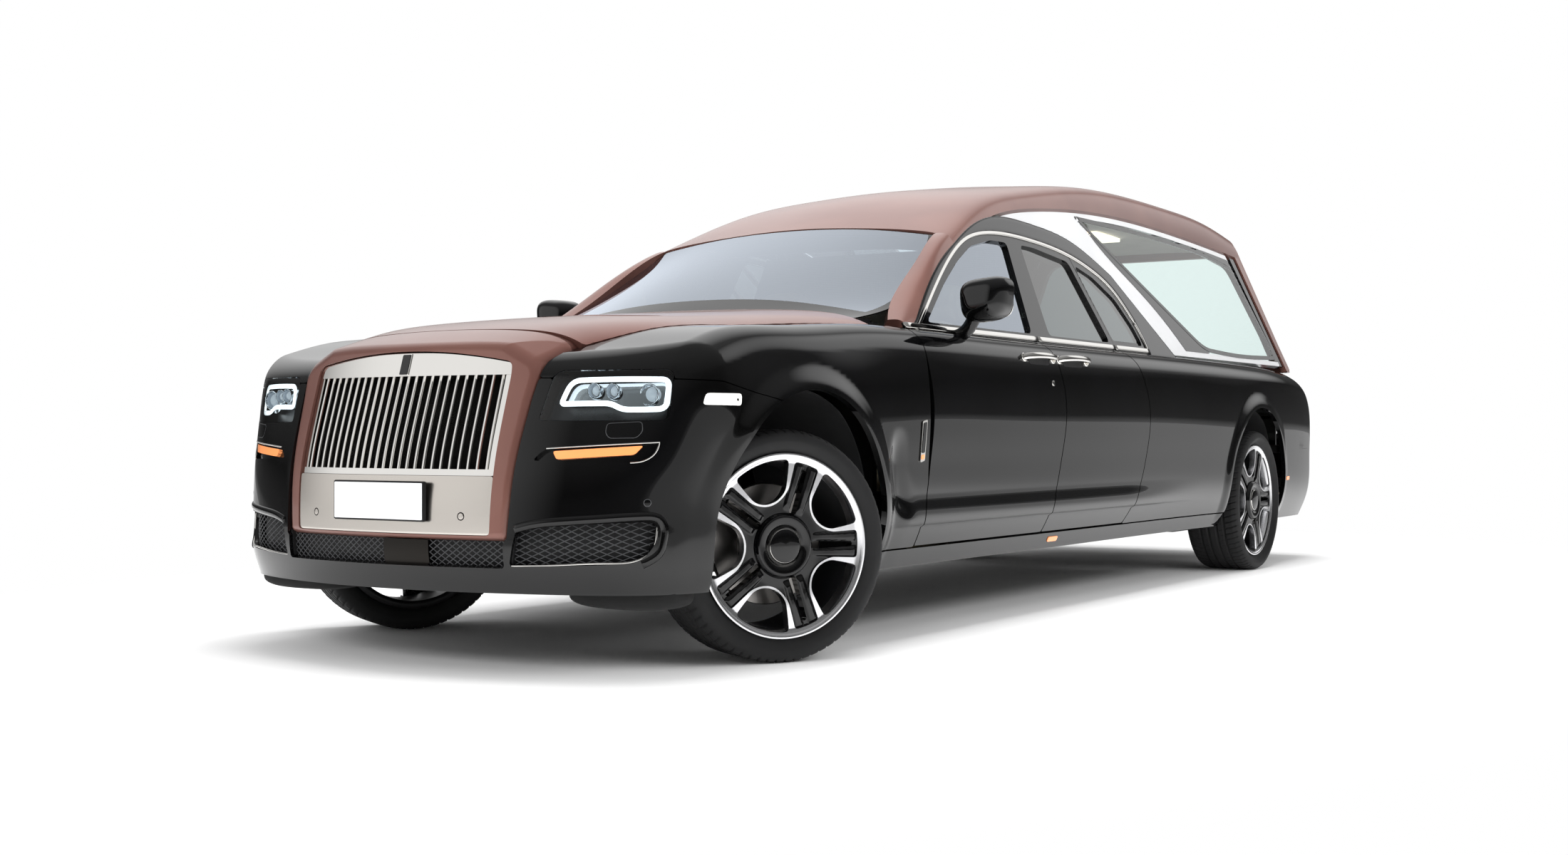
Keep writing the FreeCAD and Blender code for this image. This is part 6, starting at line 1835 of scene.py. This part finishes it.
def tail_lamps():
    """Upright lamps in the corners: a ruby lens with a clear band, let into the skin."""
    points, faces = ray_corner(1, TAIL_S, 0.66, 0.66, 40.0)
    outer = rounded(rect(0.703, 0.703, 0.882, 0.927), 0.018)

    def lens_keep(low, high):
        def keep(x, s, z):
            return np.minimum.reduce([within(outer, x, z), z - low, high - z, s - 5.304])
        return keep

    shell = Shell()
    for low, high, mark in ((0.7, 0.788, 0), (0.79, 0.826, 1), (0.828, 0.93, 0)):
        skin_panel(shell, points, faces, body, lens_keep(low, high), 0.012, mark)
    shell.build("tail_lenses", "red clear_lens", ["tail_lamps"])


class HEARSE_OT_tail(bpy.types.Operator):
    """Tailgate with its glass, tail lamps and blank rear plate"""
    bl_idname = "hearse.tail"
    bl_label = "Tail"

    def execute(self, context):
        upper()
        lower()
        tail_lamps()
        shell = Shell()
        tail = CAD_BOX[1][1]
        block(shell, (-0.26, tail - 0.012, 0.7), (0.26, tail - 0.002, 0.818), 1)
        block(shell, (-0.254, tail - 0.006, 0.706), (0.254, tail, 0.812), 0)
        shell.build("blank_rear_plate", "plate moulded", ["rear_plate"], "tailgate")
        return {"FINISHED"}


def cushion(name, centre, half, power, lean, crown, standing=()):
    """A crowned closed form whose sides draw in between its corners, leant back about the X axis."""
    def squash(points):
        x, y, z = points.T
        pinch = 1.0 - 0.05 * np.cos(math.pi * np.clip(y / half[1], -1, 1) / 2) ** 2
        seams = 0.006 * np.exp(-(((np.abs(x) - 0.62 * half[0]) / 0.008) ** 2))
        channels = 0.004 * np.cos(y * 2 * math.pi / 0.075) * step_between(0.6, 0.54, np.abs(x) / half[0])
        up = np.sign(z) * np.clip(np.abs(z) / half[2], 0, 1)
        rise = crown * (1 - (x / half[0]) ** 2) * (1 - (y / half[1]) ** 2)
        z = z + np.where(z > 0, rise - (seams + channels) * up, 0.0)
        tilt_c, tilt_s = math.cos(lean), math.sin(lean)
        return np.stack([x * pinch, y * tilt_c - z * tilt_s, y * tilt_s + z * tilt_c], 1)

    points, faces = ellipsoid(centre, half, power, 44, 88, squash)
    shell = Shell()
    solid(shell, points, faces)
    piece = shell.build(name, "cream", standing)
    return piece


def seats():
    stands = {"left": ["front_seats"], "right": []}
    for sign, side in SIDES:
        x = sign * 0.39
        base = DATUM + 1.52
        cushion("seat_cushion_" + side, (x, base - 0.02, 0.565), (0.265, 0.275, 0.08), 3.4, math.radians(6),
            0.028, stands[side])
        cushion("seat_back_" + side, (x, base + 0.33, 0.85), (0.255, 0.33, 0.075), 3.2, math.radians(106),
            0.022)
        cushion("seat_rest_" + side, (x, base + 0.465, 1.245), (0.135, 0.085, 0.05), 2.8, math.radians(100),
            0.01)
        shell = Shell()
        block(shell, (x - 0.24, base - 0.26, 0.292), (x + 0.24, base + 0.24, 0.5), 0)
        for stem in (-0.05, 0.05):
            rod = np.linspace((x + stem, base + 0.44, 1.1), (x + stem, base + 0.462, 1.22), 6)
            tube(shell, rod, circle(0.007, 10), (1.0, 0.0, 0.0), 1)
        shell.build("seat_base_" + side, "dash chrome")


def lining():
    """Pale headlining under the roof skin, with two long lamps over the load bay."""
    station, _, edge_x, edge_z, mid_z, _ = ROOF.T
    s = np.linspace(1.5, 5.12, 120)
    lengthwise = weights(station, s)
    half = lengthwise @ edge_x - 0.03
    share = np.linspace(-1.0, 1.0, 41)
    level = (lengthwise @ np.minimum(mid_z, edge_z + 0.01))[:, None] - 0.075 - 0.03 * share ** 4
    x = half[:, None] * share
    points, faces = lofted(x, s, level + 0 * x)
    shell = Shell()
    shell.add(points, looking(points, faces, 2, -1.0)[0])
    shell.build("roof_lining", "headliner")
    for s0 in (2.75, 3.55, 4.35):
        z = float(np.interp(s0, s, (lengthwise @ edge_z) - 0.075))
        block(shell, (-0.1, DATUM + s0, z - 0.02), (0.1, DATUM + s0 + 0.34, z + 0.004), 0)
    shell.build("ceiling_lamps", "ceiling_lamp")


def deck():
    """Rails and rollers on the load bay's deck."""
    shell = Shell()
    for x in (-0.36, 0.36):
        rail = np.linspace((x, DATUM + 2.4, 0.905), (x, DATUM + 5.1, 0.905), 8)
        tube(shell, rail, rounded(rect(-0.012, -0.018, 0.012, 0.018), 0.004, 3), (0.0, 0.0, 1.0))
    for s in np.arange(2.55, 5.05, 0.32):
        roller = np.linspace((-0.3, DATUM + s, 0.905), (0.3, DATUM + s, 0.905), 6)
        tube(shell, roller, circle(0.016, 12), (0.0, 0.0, 1.0))
    shell.build("deck_rollers", "brushed")


class HEARSE_OT_cabin(bpy.types.Operator):
    """Padded front seats, roof lining with its lamps and the load bay's rails"""
    bl_idname = "hearse.cabin"
    bl_label = "Cabin"

    def execute(self, context):
        seats()
        lining()
        deck()
        return {"FINISHED"}


class HEARSE_OT_dress(bpy.types.Operator):
    """Finishes of the nodes that stay as they are"""
    bl_idname = "hearse.dress"
    bl_label = "Plain nodes"

    def execute(self, context):
        finishes = {"body_lacquer": "black", "copper_lacquer": "copper", "silver_lacquer": "silver",
            "polished_metal": "chrome", "window_glass": "glass", "lamp_glass": "lamp_cover",
            "amber_lens": "amber", "red_lens": "red", "plate_white": "plate", "moulded_plastic": "moulded",
            "underbody_steel": "underseal", "cast_iron": "iron", "lining_fabric": "lining",
            "cream_leather": "cream", "dash_leather": "dash", "tyre_rubber": "rubber", "rim_alloy": "brushed"}
        for row in frame["record"]["subparts"]:
            dress([row["node"]], finishes[row["material_slot"]])
        return {"FINISHED"}


OPERATORS = [HEARSE_OT_dress, HEARSE_OT_nose, HEARSE_OT_hood, HEARSE_OT_doors, HEARSE_OT_quarters,
    HEARSE_OT_roof, HEARSE_OT_grille, HEARSE_OT_intakes, HEARSE_OT_lamps, HEARSE_OT_glass, HEARSE_OT_trims,
    HEARSE_OT_mirrors, HEARSE_OT_wheels, HEARSE_OT_tail, HEARSE_OT_cabin, HEARSE_OT_stage]


class HEARSE_PT_panel(bpy.types.Panel):
    bl_label = "Hearse"
    bl_idname = "HEARSE_PT_panel"
    bl_space_type = "VIEW_3D"
    bl_region_type = "UI"
    bl_category = "Hearse"

    def draw(self, context):
        layout = self.layout
        for name in ("shut_depth", "wire"):
            layout.prop(context.scene.hearse_paint, name)
        for name in ("lens", "lamp_power", "sky"):
            layout.prop(context.scene.hearse_stage, name)
        for operator in OPERATORS:
            layout.operator(operator.bl_idname)


CLASSES = [HearsePaintSettings, HearseStageSettings, *OPERATORS, HEARSE_PT_panel]


def register():
    for cls in CLASSES:
        bpy.utils.register_class(cls)
    bpy.types.Scene.hearse_paint = bpy.props.PointerProperty(type=HearsePaintSettings)
    bpy.types.Scene.hearse_stage = bpy.props.PointerProperty(type=HearseStageSettings)


def unregister():
    del bpy.types.Scene.hearse_stage
    del bpy.types.Scene.hearse_paint
    for cls in reversed(CLASSES):
        bpy.utils.unregister_class(cls)


def main():
    """Builds the whole car."""
    register()
    make_materials()
    for operator in OPERATORS:
        group, name = operator.bl_idname.split(".")
        getattr(getattr(bpy.ops, group), name)()


if __name__ == "__main__":
    main()
